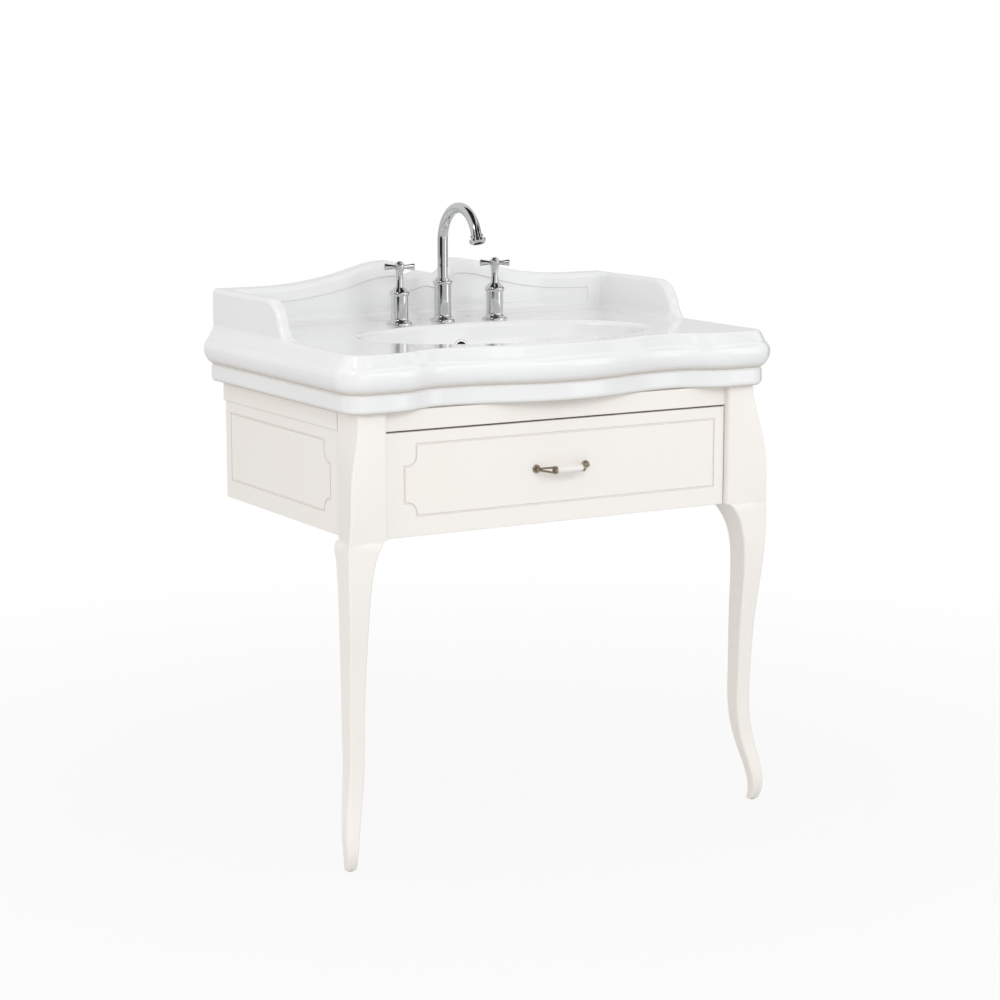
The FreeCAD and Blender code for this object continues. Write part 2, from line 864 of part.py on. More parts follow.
def make_overflow_ring():
    """A flanged ring that lines the overflow's mouth."""
    sleeve = d.overflow_radius - d.overflow_clearance
    face_height = d.overflow_seat - d.overflow_ring_height
    body = new_body("overflow_ring")
    revolve(body, [
        (sleeve - d.overflow_ring_wall, face_height),
        (d.overflow_ring_radius, face_height),
        (d.overflow_ring_radius, d.overflow_seat),
        (sleeve, d.overflow_seat),
        (sleeve, d.bowl_wall),
        (sleeve - d.overflow_ring_wall, d.bowl_wall),
    ])
    round_edges(body, d.metal_round, lambda edge: at_height(edge, face_height))
    body.Placement = overflow_place(0)
    keep(body, "overflow_ring")


def ring(name, inner, outer, low, high, **where):
    """A plain turned ring, such as a washer or a seal."""
    return keep(turned(name, [(inner, low), (outer, low), (outer, high), (inner, high)], **where), name)


def hexagon_nut(name, bore, radius, low, high, x, y):
    """A six-sided nut with a round bore, between two heights."""
    body = new_body(name)
    sketch = new_sketch(body, "XY_Plane", low)
    corners = []
    for step in range(NUT_SIDES):
        angle = math.radians(FULL_TURN / NUT_SIDES * step)
        corners.append((radius * round(math.cos(angle), 6), radius * round(math.sin(angle), 6)))
    draw(sketch, corners)
    draw_circle(sketch, 0, 0, bore)
    feature(body, "Pad", sketch, high - low)
    place(body, x, y)
    return keep(body, name)


def make_waste():
    """Flanged waste with a bridge that guides the plug, its seals and its nut."""
    where = {"y": bowl_y}
    zero = as_size(0)
    flange_low = waste_seat + d.waste_seal_height
    flange_top = flange_low + d.waste_flange_height
    shelf_top = flange_low - d.waste_shelf_drop
    tail_low = flange_low - d.waste_length
    body = turned("waste_body", [
        (d.waste_bore, tail_low),
        (d.waste_spigot_radius, tail_low),
        (d.waste_spigot_radius, tail_low + d.waste_spigot_length),
        (d.waste_radius, tail_low + d.waste_spigot_length),
        (d.waste_radius, flange_low),
        (d.waste_flange_radius, flange_low),
        (d.waste_flange_radius, flange_top),
        (d.waste_bore, flange_low),
        (d.waste_bore, shelf_top),
        (d.plug_stem_radius + d.running_clearance, shelf_top),
        (d.plug_stem_radius + d.running_clearance, shelf_top - d.waste_shelf),
        (d.waste_bore, shelf_top - d.waste_shelf),
    ], **where)
    window = new_sketch(body, "XY_Plane", shelf_top)
    draw_circle(window, d.waste_window_offset, 0, d.waste_window_radius)
    pocket = feature(body, "Pocket", window, d.waste_shelf)
    spread_round(body, pocket, WINDOW_COUNT)
    keep(body, "waste_body")
    plug_low = flange_top + d.plug_gap
    skirt = plug_low + d.plug_height / 2
    dome = d.plug_height / 2
    keep(turned("waste_plug", [
        (zero, shelf_top - d.waste_shelf * 2),
        (d.plug_stem_radius, shelf_top - d.waste_shelf * 2),
        (d.plug_stem_radius, plug_low),
        (d.plug_radius, plug_low),
        (d.plug_radius, skirt, (d.plug_radius * d.plug_radius + dome * dome) / (dome * 2), 1),
        (zero, skirt + dome),
    ], **where), "waste_plug")
    thread = d.waste_radius + d.thread_clearance
    ring("waste_seal", thread, d.waste_flange_radius, waste_seat, flange_low, **where)
    gasket_low = waste_under - d.waste_gasket_height
    ring("waste_gasket", thread, d.waste_nut_radius, gasket_low, waste_under, **where)
    nut_low = gasket_low - d.waste_nut_height
    hexagon_nut("waste_nut", thread, d.waste_nut_radius, nut_low, gasket_low, 0, bowl_y)


def spread_round(body, original, count):
    """Repeat a feature evenly about the body's own Z axis."""
    pattern = body.newObject("PartDesign::PolarPattern", "PolarPattern")
    pattern.Originals = [original]
    axis = next(item for item in body.Origin.OriginFeatures if item.Role == "Z_Axis")
    pattern.Axis = (axis, [""])
    pattern.Angle = FULL_TURN
    pattern.Occurrences = count
    body.Tip = pattern


def tap_foot():
    """The lower outline of a tap body: pipe spigot, threaded tail, rounded foot and the cove above it."""
    zero = as_size(0)
    foot = d.tap_foot_radius - d.tap_step_radius
    cove = d.tap_step_radius - d.tap_body_radius
    rise = d.tap_step_height - d.tap_foot_height
    return [
        (zero, -d.tap_tail_length),
        (d.tap_spigot_radius, -d.tap_tail_length),
        (d.tap_spigot_radius, d.tap_spigot_length - d.tap_tail_length),
        (d.tap_tail_radius, d.tap_spigot_length - d.tap_tail_length),
        (d.tap_tail_radius, zero),
        (d.tap_foot_radius, zero),
        (d.tap_foot_radius, d.tap_foot_height - foot, foot, 1),
        (d.tap_step_radius, d.tap_foot_height, (cove * cove + rise * rise) / (cove * 2), -1),
        (d.tap_body_radius, d.tap_step_height),
    ]


def tap_fixing(name, x, y):
    """The washer and the nut that hold a tap body below the deck."""
    thread = d.tap_tail_radius + d.thread_clearance
    nut_top = deck_under - d.tap_washer_height
    ring(f"{name}_washer", thread, d.tap_washer_radius, nut_top, deck_under, x=x, y=y)
    hexagon_nut(f"{name}_nut", thread, d.tap_nut_radius, nut_top - d.tap_nut_height, nut_top, x, y)


def make_valve(name, x):
    """One side valve: body, spindle with its neck, four-armed cross head and cap."""
    zero = as_size(0)
    where = {"x": x, "y": tap_y, "z": d.deck_height}
    bore_floor = d.valve_cone_height - d.valve_bore_depth
    bead = d.valve_collar_height - d.valve_body_height
    body = turned(f"{name}_valve_body", tap_foot() + [
        (d.tap_body_radius, d.valve_body_height),
        (d.valve_collar_radius, d.valve_body_height, bead * BEAD_ROUND, 1),
        (d.valve_collar_radius, d.valve_collar_height),
        (d.valve_cone_radius, d.valve_cone_height),
        (d.valve_bore_radius, d.valve_cone_height),
        (d.valve_bore_radius, bore_floor),
        (zero, bore_floor),
    ], **where)
    keep(body, f"{name}_valve_body")
    shaft = d.valve_bore_radius - d.running_clearance
    neck_low = d.valve_cone_height + d.turning_gap
    waist = d.valve_neck_height - neck_low
    keep(turned(f"{name}_spindle", [
        (zero, bore_floor + d.turning_gap),
        (shaft, bore_floor + d.turning_gap),
        (shaft, neck_low),
        (d.valve_neck_radius, neck_low, waist * NECK_ROUND, -1),
        (d.valve_neck_radius, d.valve_neck_height),
        (d.peg_radius, d.valve_neck_height),
        (d.peg_radius, d.valve_neck_height + d.hub_height),
        (zero, d.valve_neck_height + d.hub_height),
    ], **where), f"{name}_spindle")
    cross = new_body(f"{name}_cross")
    half = d.hub_height / 2
    socket = d.peg_radius + d.thread_clearance
    revolve(cross, [
        (socket, -half),
        (d.hub_radius - d.metal_round * 3, -half),
        (d.hub_radius, d.metal_round * 3 - half),
        (d.hub_radius, half - d.metal_round * 3),
        (d.hub_radius - d.metal_round * 3, half),
        (socket, half),
    ])
    arm = new_sketch(cross, "XZ_Plane")
    root = d.hub_radius - d.metal_round * 2
    draw(arm, [
        (root, zero),
        (d.arm_reach, zero),
        (d.arm_reach, d.arm_tip_radius - d.arm_tip_round, d.arm_tip_round, 1),
        (d.arm_reach - d.arm_tip_round, d.arm_tip_radius),
        (root, d.arm_root_radius),
    ])
    turn = cross.newObject("PartDesign::Revolution", "Arm")
    turn.Profile = arm
    turn.ReferenceAxis = (arm, ["H_Axis"])
    turn.Angle = FULL_TURN
    spread_round(cross, turn, ARM_COUNT)
    place(cross, x, tap_y, d.deck_height + d.valve_neck_height + half, (0, 0, 1), ARM_TURN)
    keep(cross, f"{name}_cross")
    edge = d.cap_height / 3
    dome = d.cap_height - edge
    keep(turned(f"{name}_cap", [
        (zero, zero),
        (d.cap_radius, zero),
        (d.cap_radius, edge, (d.cap_radius * d.cap_radius + dome * dome) / (dome * 2), 1),
        (zero, d.cap_height),
    ], x=x, y=tap_y, z=d.deck_height + d.valve_neck_height + d.hub_height), f"{name}_cap")
    tap_fixing(f"{name}_valve", x, tap_y)


def make_spout():
    """The middle pillar, the swan neck that turns in it, and the nozzle at its end."""
    zero = as_size(0)
    where = {"y": spout_y, "z": d.deck_height}
    bore_floor = d.pillar_ring_height - d.spout_bore_depth
    bead = d.pillar_collar_height - d.pillar_body_height
    keep(turned("spout_pillar", tap_foot() + [
        (d.tap_body_radius, d.pillar_body_height),
        (d.pillar_collar_radius, d.pillar_body_height, bead * BEAD_ROUND, 1),
        (d.pillar_collar_radius, d.pillar_collar_height),
        (d.pillar_ring_radius, d.pillar_collar_height),
        (d.pillar_ring_radius, d.pillar_ring_height),
        (d.spout_bore_radius, d.pillar_ring_height),
        (d.spout_bore_radius, bore_floor),
        (zero, bore_floor),
    ], **where), "spout_pillar")
    tap_fixing("spout", 0, spout_y)
    body = new_body("spout_tube")
    base = d.pillar_ring_height + d.turning_gap
    spigot = d.spout_bore_radius - d.running_clearance
    bore = spigot - d.spout_wall_thickness
    revolve(body, [
        (bore, bore_floor + d.turning_gap),
        (spigot, bore_floor + d.turning_gap),
        (spigot, base),
        (d.spout_radius, base),
        (d.spout_radius, base + d.spout_wall_thickness),
        (bore, base + d.spout_wall_thickness),
    ])
    sweep = math.radians(SPOUT_SWEEP)
    reach, lift = math.cos(sweep), math.sin(sweep)
    bend_end = d.spout_bend_radius * reach - d.spout_bend_radius, d.spout_rise + d.spout_bend_radius * lift
    tip = bend_end[0] - d.spout_end_length * lift, bend_end[1] + d.spout_end_length * reach
    path = new_sketch(body, "YZ_Plane")
    draw(path, [
        (zero, base),
        (zero, d.spout_rise, d.spout_bend_radius, 1),
        bend_end,
        tip,
    ], closed=False)
    section = new_sketch(body, "XY_Plane", base)
    draw_circle(section, 0, 0, d.spout_radius)
    draw_circle(section, 0, 0, bore)
    pipe = body.newObject("PartDesign::AdditivePipe", "SwanNeck")
    pipe.Profile = section
    pipe.Spine = (path, [])
    place(body, **where)
    keep(body, "spout_tube")
    nozzle = turned("spout_nozzle", [
        (d.nozzle_bore, zero),
        (d.nozzle_collar_radius, zero),
        (d.nozzle_collar_radius, d.nozzle_collar_height),
        (d.nozzle_neck_radius, d.nozzle_collar_height),
        (d.nozzle_neck_radius, d.nozzle_neck_height),
        (d.nozzle_flange_radius, d.nozzle_neck_height),
        (d.nozzle_flange_radius, d.nozzle_flange_height),
        (d.nozzle_tip_radius, d.nozzle_height),
        (d.nozzle_bore, d.nozzle_height),
    ], y=spout_y + tip[0], z=d.deck_height + tip[1], axis=(1, 0, 0), angle=SPOUT_SWEEP)
    keep(nozzle, "spout_nozzle")


def beside(corner, other, distance):
    """The point some distance from a corner on the way to another, taken along the longer axis."""
    run, rise = other[0] - corner[0], other[1] - corner[1]
    main = run if abs(run.value) > abs(rise.value) else rise
    share = distance / (main if main.value > 0 else -main)
    return corner[0] + run * share, corner[1] + rise * share


def eased(corners, radius):
    """An outline, drawn anticlockwise, with its corners made round."""
    outline = []
    for i, corner in enumerate(corners):
        outline.append(beside(corner, corners[i - 1], radius) + (None, 1))
        outline.append(beside(corner, corners[(i + 1) % len(corners)], radius))
    return outline


def leg_section(body, z, corners):
    sketch = new_sketch(body, "XY_Plane", z)
    draw(sketch, eased(corners, d.arris_round))
    return sketch


def post_corners(out, forward):
    """A section of the post, whose front outer arris stands out from its square corner."""
    return [
        (post_inner, post_face),
        (post_outer + out, post_face - forward),
        (post_outer, post_back),
        (post_inner, post_back),
    ]


def leg_corners(out, forward, width, depth, slant, outer_slant=None):
    """A section of the leg below the post, measured from its front outer arris."""
    x = post_outer + out
    y = post_face - forward
    outer_slant = slant if outer_slant is None else outer_slant
    return [(x - width, y + slant), (x, y), (x - outer_slant, y + depth), (x - width, y + depth)]


def loft(body, sections):
    made = body.newObject("PartDesign::AdditiveLoft", "AdditiveLoft")
    made.Profile = sections[0]
    made.Sections = sections[1:]
    return made


def measures(name, *words):
    """A station's sizes by the names of its measures."""
    return [getattr(d, f"{name}_{word}") for word in words]


def make_leg():
    """A post that swells into a knee, and the cabriole curve from the bracket under it to the toe."""
    body = new_body("leg")
    post = [leg_section(body, seat, post_corners(as_size(0), as_size(0)))]
    for name in POST_STATIONS:
        level, out, forward = measures(name, "level", "out", "forward")
        post.append(leg_section(body, seat - level, post_corners(out, forward)))
    post.append(leg_section(body, apron, post_corners(d.apron_out, d.apron_forward)))
    loft(body, post)
    front_slant = d.apron_forward * d.apron_leg_width / (d.post_width + d.apron_out)
    outer_slant = d.apron_out * d.apron_leg_depth / (d.post_depth + d.apron_forward)
    top = measures("apron", "out", "forward", "leg_width", "leg_depth") + [front_slant, outer_slant]
    curve = [leg_section(body, apron, leg_corners(*top))]
    for name in (*UPPER_STATIONS, *LOWER_STATIONS):
        level, *rest = measures(name, *STATION_MEASURES)
        height = apron - level if name in UPPER_STATIONS else level
        curve.append(leg_section(body, height, leg_corners(*rest)))
    toe = measures("toe", *STATION_MEASURES[1:])
    curve.append(leg_section(body, d.glide_height, leg_corners(*toe)))
    loft(body, curve)
    return body


def dowels(centres, axis, extra_radius=0, extra_length=0):
    """Dowels about their centres, or the holes that take them."""
    radius = d.dowel_radius + extra_radius
    length = d.dowel_length + extra_length
    return [rod(radius, length, centre, axis) for centre in centres]


def make_cabinet():
    """Two legs, the rails and panels between them, and the dowels that join them."""
    rail_y = face + d.board / 2
    rail_low = seat - d.front_rail_height
    panel_x = side - d.board / 2
    back_y = wall - d.board / 2
    hanging_low = seat - d.hanging_rail_height
    lower_top = apron + d.lower_rail_height
    rail_heights = rail_low + d.rail_dowel_inset, seat - d.rail_dowel_inset
    panel_heights = apron + d.panel_dowel_inset, (apron + seat) / 2, seat - d.panel_dowel_inset
    hanging_heights = hanging_low + d.back_dowel_inset, seat - d.back_dowel_inset
    lower_heights = apron + d.back_dowel_inset, lower_top - d.back_dowel_inset
    joints = {
        "rail": ([(post_inner, rail_y, z) for z in rail_heights], "X"),
        "panel": ([(panel_x, post_back, z) for z in panel_heights], "Y"),
        "hanging": ([(side_inner, back_y, z) for z in hanging_heights], "X"),
        "lower": ([(side_inner, back_y, z) for z in lower_heights], "X"),
    }
    room = d.dowel_clearance, d.dowel_end_gap
    holes = {name: bundle(dowels(*joint, *room)) for name, joint in joints.items()}

    pair(drilled(make_leg(), bundle([holes["rail"], holes["panel"]])), "leg")
    panel = make_side_panel()
    pair(drilled(panel, bundle([holes["panel"], holes["hanging"], holes["lower"]])), "side_panel")
    pair(make_top_moulding(), "top_moulding")
    rail = board((-post_inner, post_inner), (face, face + d.board), (rail_low, seat))
    keep(drilled(rail, both_sides([holes["rail"]])), "front_rail")
    back = wall - d.board, wall
    width = -side_inner, side_inner
    bolt_centre = d.wall_hole_spacing / 2, back_y, (hanging_low + seat) / 2
    bolt = rod(d.wall_hole_radius, d.board * 2, bolt_centre, "Y")
    hanging = board(width, back, (hanging_low, seat))
    keep(drilled(hanging, both_sides([holes["hanging"], bolt])), "hanging_rail")
    lower = board(width, back, (apron, lower_top))
    keep(drilled(lower, both_sides([holes["lower"]])), "lower_back_rail")
    batten_low = apron + d.runner_lift - d.batten_height / 2
    batten = board((post_inner, side_inner), (post_back, back[0]), (batten_low, batten_low + d.batten_height))
    pair(batten, "runner_batten")
    pegs = [peg for joint in joints.values() for peg in dowels(*joint)]
    keep(both_sides(pegs), "carcass_dowels")
    glide_x = post_outer + d.toe_out - d.toe_width / 2
    glide_y = post_face - d.toe_forward + d.toe_depth / 2
    glide = doc.addObject("Part::Cylinder", "Glide")
    bind(glide, "Radius", d.glide_radius)
    bind(glide, "Height", d.glide_height)
    place(glide, glide_x, glide_y)
    keep(both_sides([glide]), "foot_glides")


def line_outline(low, high, inset):
    """One edge of the routed line: a frame whose first end has two scooped corners."""
    end = low[0] + d.notch_margin
    scoop_x = end + d.notch_step
    scoop = d.notch_radius + inset
    neck = scoop_x + scoop
    right = high[0] - d.line_margin - inset
    top = high[1] - d.line_margin - inset
    foot = low[1] + d.line_foot + inset
    scoop_top = high[1] - d.line_margin - d.notch_top_drop
    scoop_foot = low[1] + d.line_foot + d.notch_foot_drop
    return [
        (neck, foot),
        (right, foot),
        (right, top),
        (neck, top),
        (neck, scoop_top, scoop, -1),
        (scoop_x, scoop_top - scoop),
        (end + inset, scoop_top - scoop),
        (end + inset, scoop_foot + scoop),
        (scoop_x, scoop_foot + scoop, scoop, -1),
        (neck, scoop_foot),
    ]


def rout_line(body, role, offset, low, high):
    """Cut the decorative line into a face between two corners."""
    sketch = new_sketch(body, role, offset)
    draw(sketch, line_outline(low, high, -d.line_width / 2))
    draw(sketch, line_outline(low, high, d.line_width / 2))
    feature(body, "Pocket", sketch, d.line_depth)


def rectangle(low, high):
    return [low, (high[0], low[1]), high, (low[0], high[1])]


def make_side_panel():
    body = new_body("side_panel")
    sketch = new_sketch(body, "YZ_Plane", side_inner)
    draw(sketch, rectangle((post_back, apron), (wall, seat)))
    feature(body, "Pad", sketch, d.board)
    moulding_foot = seat - d.moulding_drop - d.moulding_height
    rout_line(body, "YZ_Plane", side, (post_back, apron), (wall, moulding_foot))
    return body


def make_top_moulding():
    """The flat strip applied along the top of a side panel."""
    body = new_body("top_moulding")
    top = seat - d.moulding_drop
    foot = top - d.moulding_height
    proud = side + d.moulding_thickness
    soft = d.moulding_round
    sketch = new_sketch(body, "XZ_Plane", -wall)
    draw(sketch, [
        (side, foot),
        (proud - soft, foot, soft, 1),
        (proud, foot + soft),
        (proud, top - soft, soft, 1),
        (proud - soft, top),
        (side, top),
    ])
    feature(body, "Pad", sketch, wall - post_back - d.moulding_gap)
    return body


def make_drawer():
    """The drawer's front and its box, which goes round the waste with a well open at the back."""
    half = post_inner - d.drawer_side_gap
    top = seat - d.front_rail_height - d.drawer_top_gap
    pull_z = apron + d.pull_lift
    body = new_body("drawer_front")
    sketch = new_sketch(body, "XZ_Plane", -face)
    draw(sketch, rectangle((-half, apron), (half, top)))
    feature(body, "Pad", sketch, d.drawer_front_thickness, reverse=True)
    rout_line(body, "XZ_Plane", -face, (-half, apron), (half, top))
    holes = new_sketch(body, "XZ_Plane", -face)
    for x in (-d.pull_spacing / 2, d.pull_spacing / 2):
        draw_circle(holes, x, pull_z, d.pull_screw_radius + d.screw_clearance)
    feature(body, "Pocket", holes, d.drawer_front_thickness)
    keep(body, "drawer_front")

    outer = post_inner - d.runner_thickness
    inner = outer - d.drawer_board
    box_front = face + d.drawer_front_thickness
    box_back = box_front + d.drawer_box_length
    floor = apron + d.drawer_box_lift
    inside = floor + d.drawer_bottom_thickness
    height = floor, floor + d.drawer_box_height
    walls = inside, height[1]
    well = d.well_width / 2
    well_outer = well + d.drawer_board
    well_front = bowl_y - d.waste_nut_radius - d.well_clearance
    pair(board((inner, outer), (box_front, box_back), height), "drawer_side")
    pair(board((well_outer, inner), (box_back - d.drawer_board, box_back), walls), "drawer_back")
    pair(board((well, well_outer), (well_front, box_back), walls), "well_wall")
    keep(board((-well_outer, well_outer), (well_front - d.drawer_board, well_front), walls), "well_front")
    bottom = new_body("drawer_bottom")
    sheet_outline = new_sketch(bottom, "XY_Plane", floor)
    draw(sheet_outline, [
        (-inner, box_front),
        (inner, box_front),
        (inner, box_back),
        (well, box_back),
        (well, well_front),
        (-well, well_front),
        (-well, box_back),
        (-inner, box_back),
    ])
    feature(bottom, "Pad", sheet_outline, d.drawer_bottom_thickness)
    keep(bottom, "drawer_bottom")


def runner_member(name, corners):
    """One pressed channel of a runner, from corners of (distance off the cabinet, height)."""
    body = new_body(name)
    front_end = face + d.drawer_front_thickness + d.runner_setback
    middle = apron + d.runner_lift
    sketch = new_sketch(body, "XZ_Plane", -front_end - d.runner_length)
    draw(sketch, [(post_inner - off, middle + up) for off, up in corners])
    feature(body, "Pad", sketch, d.runner_length)
    pair(body, name)


def make_runners():
    """Three nested channels on each side of the drawer: fixed, travelling and drawer member."""
    zero = as_size(0)
    sheet_metal = d.runner_sheet
    outer = d.runner_height / 2
    middle = outer - sheet_metal - d.runner_clearance
    inner = middle - sheet_metal - d.runner_clearance
    web_back = d.runner_middle_web + sheet_metal
    back = d.runner_thickness
    runner_member("runner_outer", [
        (zero, -outer),
        (d.runner_outer_lip, -outer),
        (d.runner_outer_lip, sheet_metal - outer),
        (sheet_metal, sheet_metal - outer),
        (sheet_metal, outer - sheet_metal),
        (d.runner_outer_lip, outer - sheet_metal),
        (d.runner_outer_lip, outer),
        (zero, outer),
    ])
    runner_member("runner_middle", [
        (d.runner_middle_start, -middle),
        (d.runner_middle_lip, -middle),
        (d.runner_middle_lip, sheet_metal - middle),
        (web_back, sheet_metal - middle),
        (web_back, middle - sheet_metal),
        (d.runner_middle_lip, middle - sheet_metal),
        (d.runner_middle_lip, middle),
        (d.runner_middle_start, middle),
        (d.runner_middle_start, middle - sheet_metal),
        (d.runner_middle_web, middle - sheet_metal),
        (d.runner_middle_web, sheet_metal - middle),
        (d.runner_middle_start, sheet_metal - middle),
    ])
    runner_member("runner_inner", [
        (back, -inner),
        (d.runner_inner_lip, -inner),
        (d.runner_inner_lip, sheet_metal - inner),
        (back - sheet_metal, sheet_metal - inner),
        (back - sheet_metal, inner - sheet_metal),
        (d.runner_inner_lip, inner - sheet_metal),
        (d.runner_inner_lip, inner),
        (back, inner),
    ])


def make_pull():
    """Two forked arms that carry a barrel grip, and the screws that hold them."""
    zero = as_size(0)
    pull_z = apron + d.pull_lift
    arm_x = d.pull_spacing / 2
    arm = new_body("handle_arm")
    bore = d.pull_screw_radius + d.thread_clearance
    shoulder = d.pull_foot_radius - d.pull_neck_radius
    rise = d.pull_foot_height - d.pull_foot_edge
    revolve(arm, [
        (bore, zero),
        (d.pull_foot_radius, zero),
        (d.pull_foot_radius, -d.pull_foot_edge, (shoulder * shoulder + rise * rise) / (shoulder * 2), -1),
        (d.pull_neck_radius, -d.pull_foot_height),
        (d.pull_neck_radius, -d.pull_neck_height),
        (zero, -d.pull_neck_height),
        (zero, -d.pull_screw_grip),
        (bore, -d.pull_screw_grip),
    ], "XY_Plane")
    ferrule_x = d.grip_length / 2 + d.pull_ferrule_length - arm_x
    for sign in (1, -1):
        root = new_sketch(arm, "XZ_Plane", d.pull_neck_height - d.pull_prong_root)
        draw_circle(root, 0, d.pull_prong_root * sign, d.pull_prong_radius)
        tip = new_sketch(arm, "YZ_Plane", ferrule_x)
        draw_circle(tip, -d.pull_reach, d.pull_prong_spread * sign, d.pull_prong_radius)
        loft(arm, [root, tip])
    ferrule = new_sketch(arm, "YZ_Plane", ferrule_x)
    draw_circle(ferrule, -d.pull_reach, 0, d.pull_ferrule_radius)
    feature(arm, "Pad", ferrule, d.pull_ferrule_length, reverse=True)
    place(arm, arm_x, face, pull_z)
    pair(arm, "handle_arm")
    half = d.grip_length / 2
    swell = d.grip_middle_radius - d.grip_end_radius
    keep(turned("handle_grip", [
        (zero, -half),
        (d.grip_end_radius, -half, (half * half + swell * swell) / (swell * 2), 1),
        (d.grip_end_radius, half),
        (zero, half),
    ], y=face - d.pull_reach, z=pull_z, axis=(0, 1, 0), angle=QUARTER), "handle_grip")
    shank = d.drawer_front_thickness + d.pull_screw_grip - d.turning_gap
    screw = turned("handle_screw", [
        (zero, -d.pull_screw_head_height),
        (d.pull_screw_head_radius, -d.pull_screw_head_height),
        (d.pull_screw_head_radius, zero),
        (d.pull_screw_radius, zero),
        (d.pull_screw_radius, shank),
        (zero, shank),
    ], x=arm_x, y=face + d.drawer_front_thickness, z=pull_z, axis=(1, 0, 0), angle=QUARTER)
    keep(both_sides([screw]), "handle_screws")


make_basin()
make_overflow_ring()
make_waste()
make_valve("hot", -d.tap_spacing)
make_valve("cold", d.tap_spacing)
make_spout()
make_cabinet()
make_drawer()
make_runners()
make_pull()
doc.recompute()


def report_faults():
    """Stop if any object failed or any node has no valid solid."""
    for item in doc.Objects:
        if "Invalid" in item.State or "Error" in item.State:
            raise RuntimeError(f"{item.Name} failed: {item.State}")
    for node in nodes:
        if node.Shape.isNull() or not node.Shape.isValid() or not node.Shape.Solids:
            raise RuntimeError(f"{node.Label} has no valid solid")


report_faults()
os.makedirs("parts", exist_ok=True)
for node in nodes:
    node.Shape.exportStep(f"parts/{node.Label}.step")
    print(node.Label, len(node.Shape.Solids), round(node.Shape.Volume / 1000, 1), "cm3")
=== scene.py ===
"""Studio looks of a console vanity unit: finishes, a fine detail, the stage and the camera."""
import json
import math

import bmesh
import bpy
from bpy.props import FloatProperty, FloatVectorProperty, PointerProperty
from mathutils import Matrix, Vector


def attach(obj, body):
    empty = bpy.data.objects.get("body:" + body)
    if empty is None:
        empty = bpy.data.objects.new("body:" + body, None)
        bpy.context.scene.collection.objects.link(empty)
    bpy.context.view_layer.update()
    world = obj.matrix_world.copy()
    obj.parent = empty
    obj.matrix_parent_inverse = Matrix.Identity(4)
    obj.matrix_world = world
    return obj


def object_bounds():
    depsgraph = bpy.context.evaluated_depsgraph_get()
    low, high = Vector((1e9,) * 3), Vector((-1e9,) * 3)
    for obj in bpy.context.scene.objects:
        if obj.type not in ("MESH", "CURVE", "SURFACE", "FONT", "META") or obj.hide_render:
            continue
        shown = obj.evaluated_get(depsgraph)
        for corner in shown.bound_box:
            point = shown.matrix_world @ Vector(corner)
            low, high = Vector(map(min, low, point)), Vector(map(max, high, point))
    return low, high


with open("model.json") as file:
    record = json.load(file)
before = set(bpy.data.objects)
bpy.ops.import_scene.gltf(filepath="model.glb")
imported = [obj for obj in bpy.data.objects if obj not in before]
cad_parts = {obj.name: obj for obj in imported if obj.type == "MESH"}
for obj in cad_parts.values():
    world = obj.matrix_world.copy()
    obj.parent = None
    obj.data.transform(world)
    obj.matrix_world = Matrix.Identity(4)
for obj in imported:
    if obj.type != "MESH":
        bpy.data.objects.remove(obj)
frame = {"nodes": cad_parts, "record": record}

bl_info = {
    "name": "Console vanity unit",
    "version": (1, 0, 0),
    "blender": (4, 5, 0),
    "location": "View3D > Sidebar > Vanity",
    "description": "Dresses a console vanity unit and sets it in a plain studio",
    "category": "Object",
}

CAD_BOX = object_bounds()
DARK = (0.02, 0.02, 0.02, 1.0)
WHITE = (1.0, 1.0, 1.0, 1.0)

# Sockets of a Mix node that blends colours
MIX_SHARE, MIX_FIRST, MIX_SECOND, MIX_RESULT = 0, 6, 7, 2
HOLLOW_SAMPLES = 8
EDGE_SAMPLES = 4

# Glaze: lengths in metres. Above the glaze line, every face of the basin is glazed.
GLAZE_COAT = 0.5
GLAZE_COAT_ROUGHNESS = 0.03
GLAZE_RIPPLE = 0.0004
GLAZE_LINE = 0.843
GLAZE_FADE = 0.0005

# Wood: how much finer its grain is across than along, and which way it runs
FINE = 14.0
GRAIN_DEEP = (FINE, 1.0, FINE)
GRAIN_WIDE = (1.0, FINE, FINE)
GRAIN_LEVEL = (1.0, 1.0, FINE)

CHANNEL_SIDES = 48

# Camera: sensor in millimetres, far clip in metres
SENSOR_WIDTH = 36.0
FAR_CLIP = 60.0

# Lights: name, place, size, and the stage's settings for power and colour
LIGHTS = (
    ("key", (-1.5, -3.3, 2.2), (0.8, 0.8), "key_power", "daylight"),
    ("front", (0.9, -3.5, 2.4), (1.6, 1.6), "front_power", "daylight"),
    ("side", (-3.6, -0.6, 1.6), (2.4, 2.4), "side_power", "lamplight"),
)

# Sheets that gloss and metal mirror: name, place and size; a lit one has a finish and a strength
SHEET_TARGET = (0.0, 0.17, 0.95)
FLAGS = (
    ("flag_left", (-2.3, -0.9, 1.05), (3.0, 1.8)),
    ("flag_right", (2.3, 0.4, 1.3), (0.7, 2.2)),
    ("flag_top", (-0.13, -0.07, 2.53), (1.8, 1.8)),
    ("flag_front", (1.6, -1.95, 2.95), (3.0, 1.0)),
    ("flag_high", (-1.08, -1.86, 2.88), (2.2, 1.9)),
)
GLOWS = (
    ("glow_right", (2.0, -2.4, 1.1), (1.6, 2.4), "studio_glow", 1.6),
    ("glow_front", (1.5, -3.0, 2.35), (4.5, 0.9), "studio_band", 1.6),
    ("glow_corner", (-1.75, -1.02, 2.55), (0.5, 0.5), "studio_spot", 9.0),
)

# Floor: its span, how white the camera sees it at the object, and where that fades to white
FLOOR_SPAN = 40.0
FLOOR_NEAR = 0.86
FLOOR_FADE_START = 0.7
FLOOR_FADE_END = 2.2


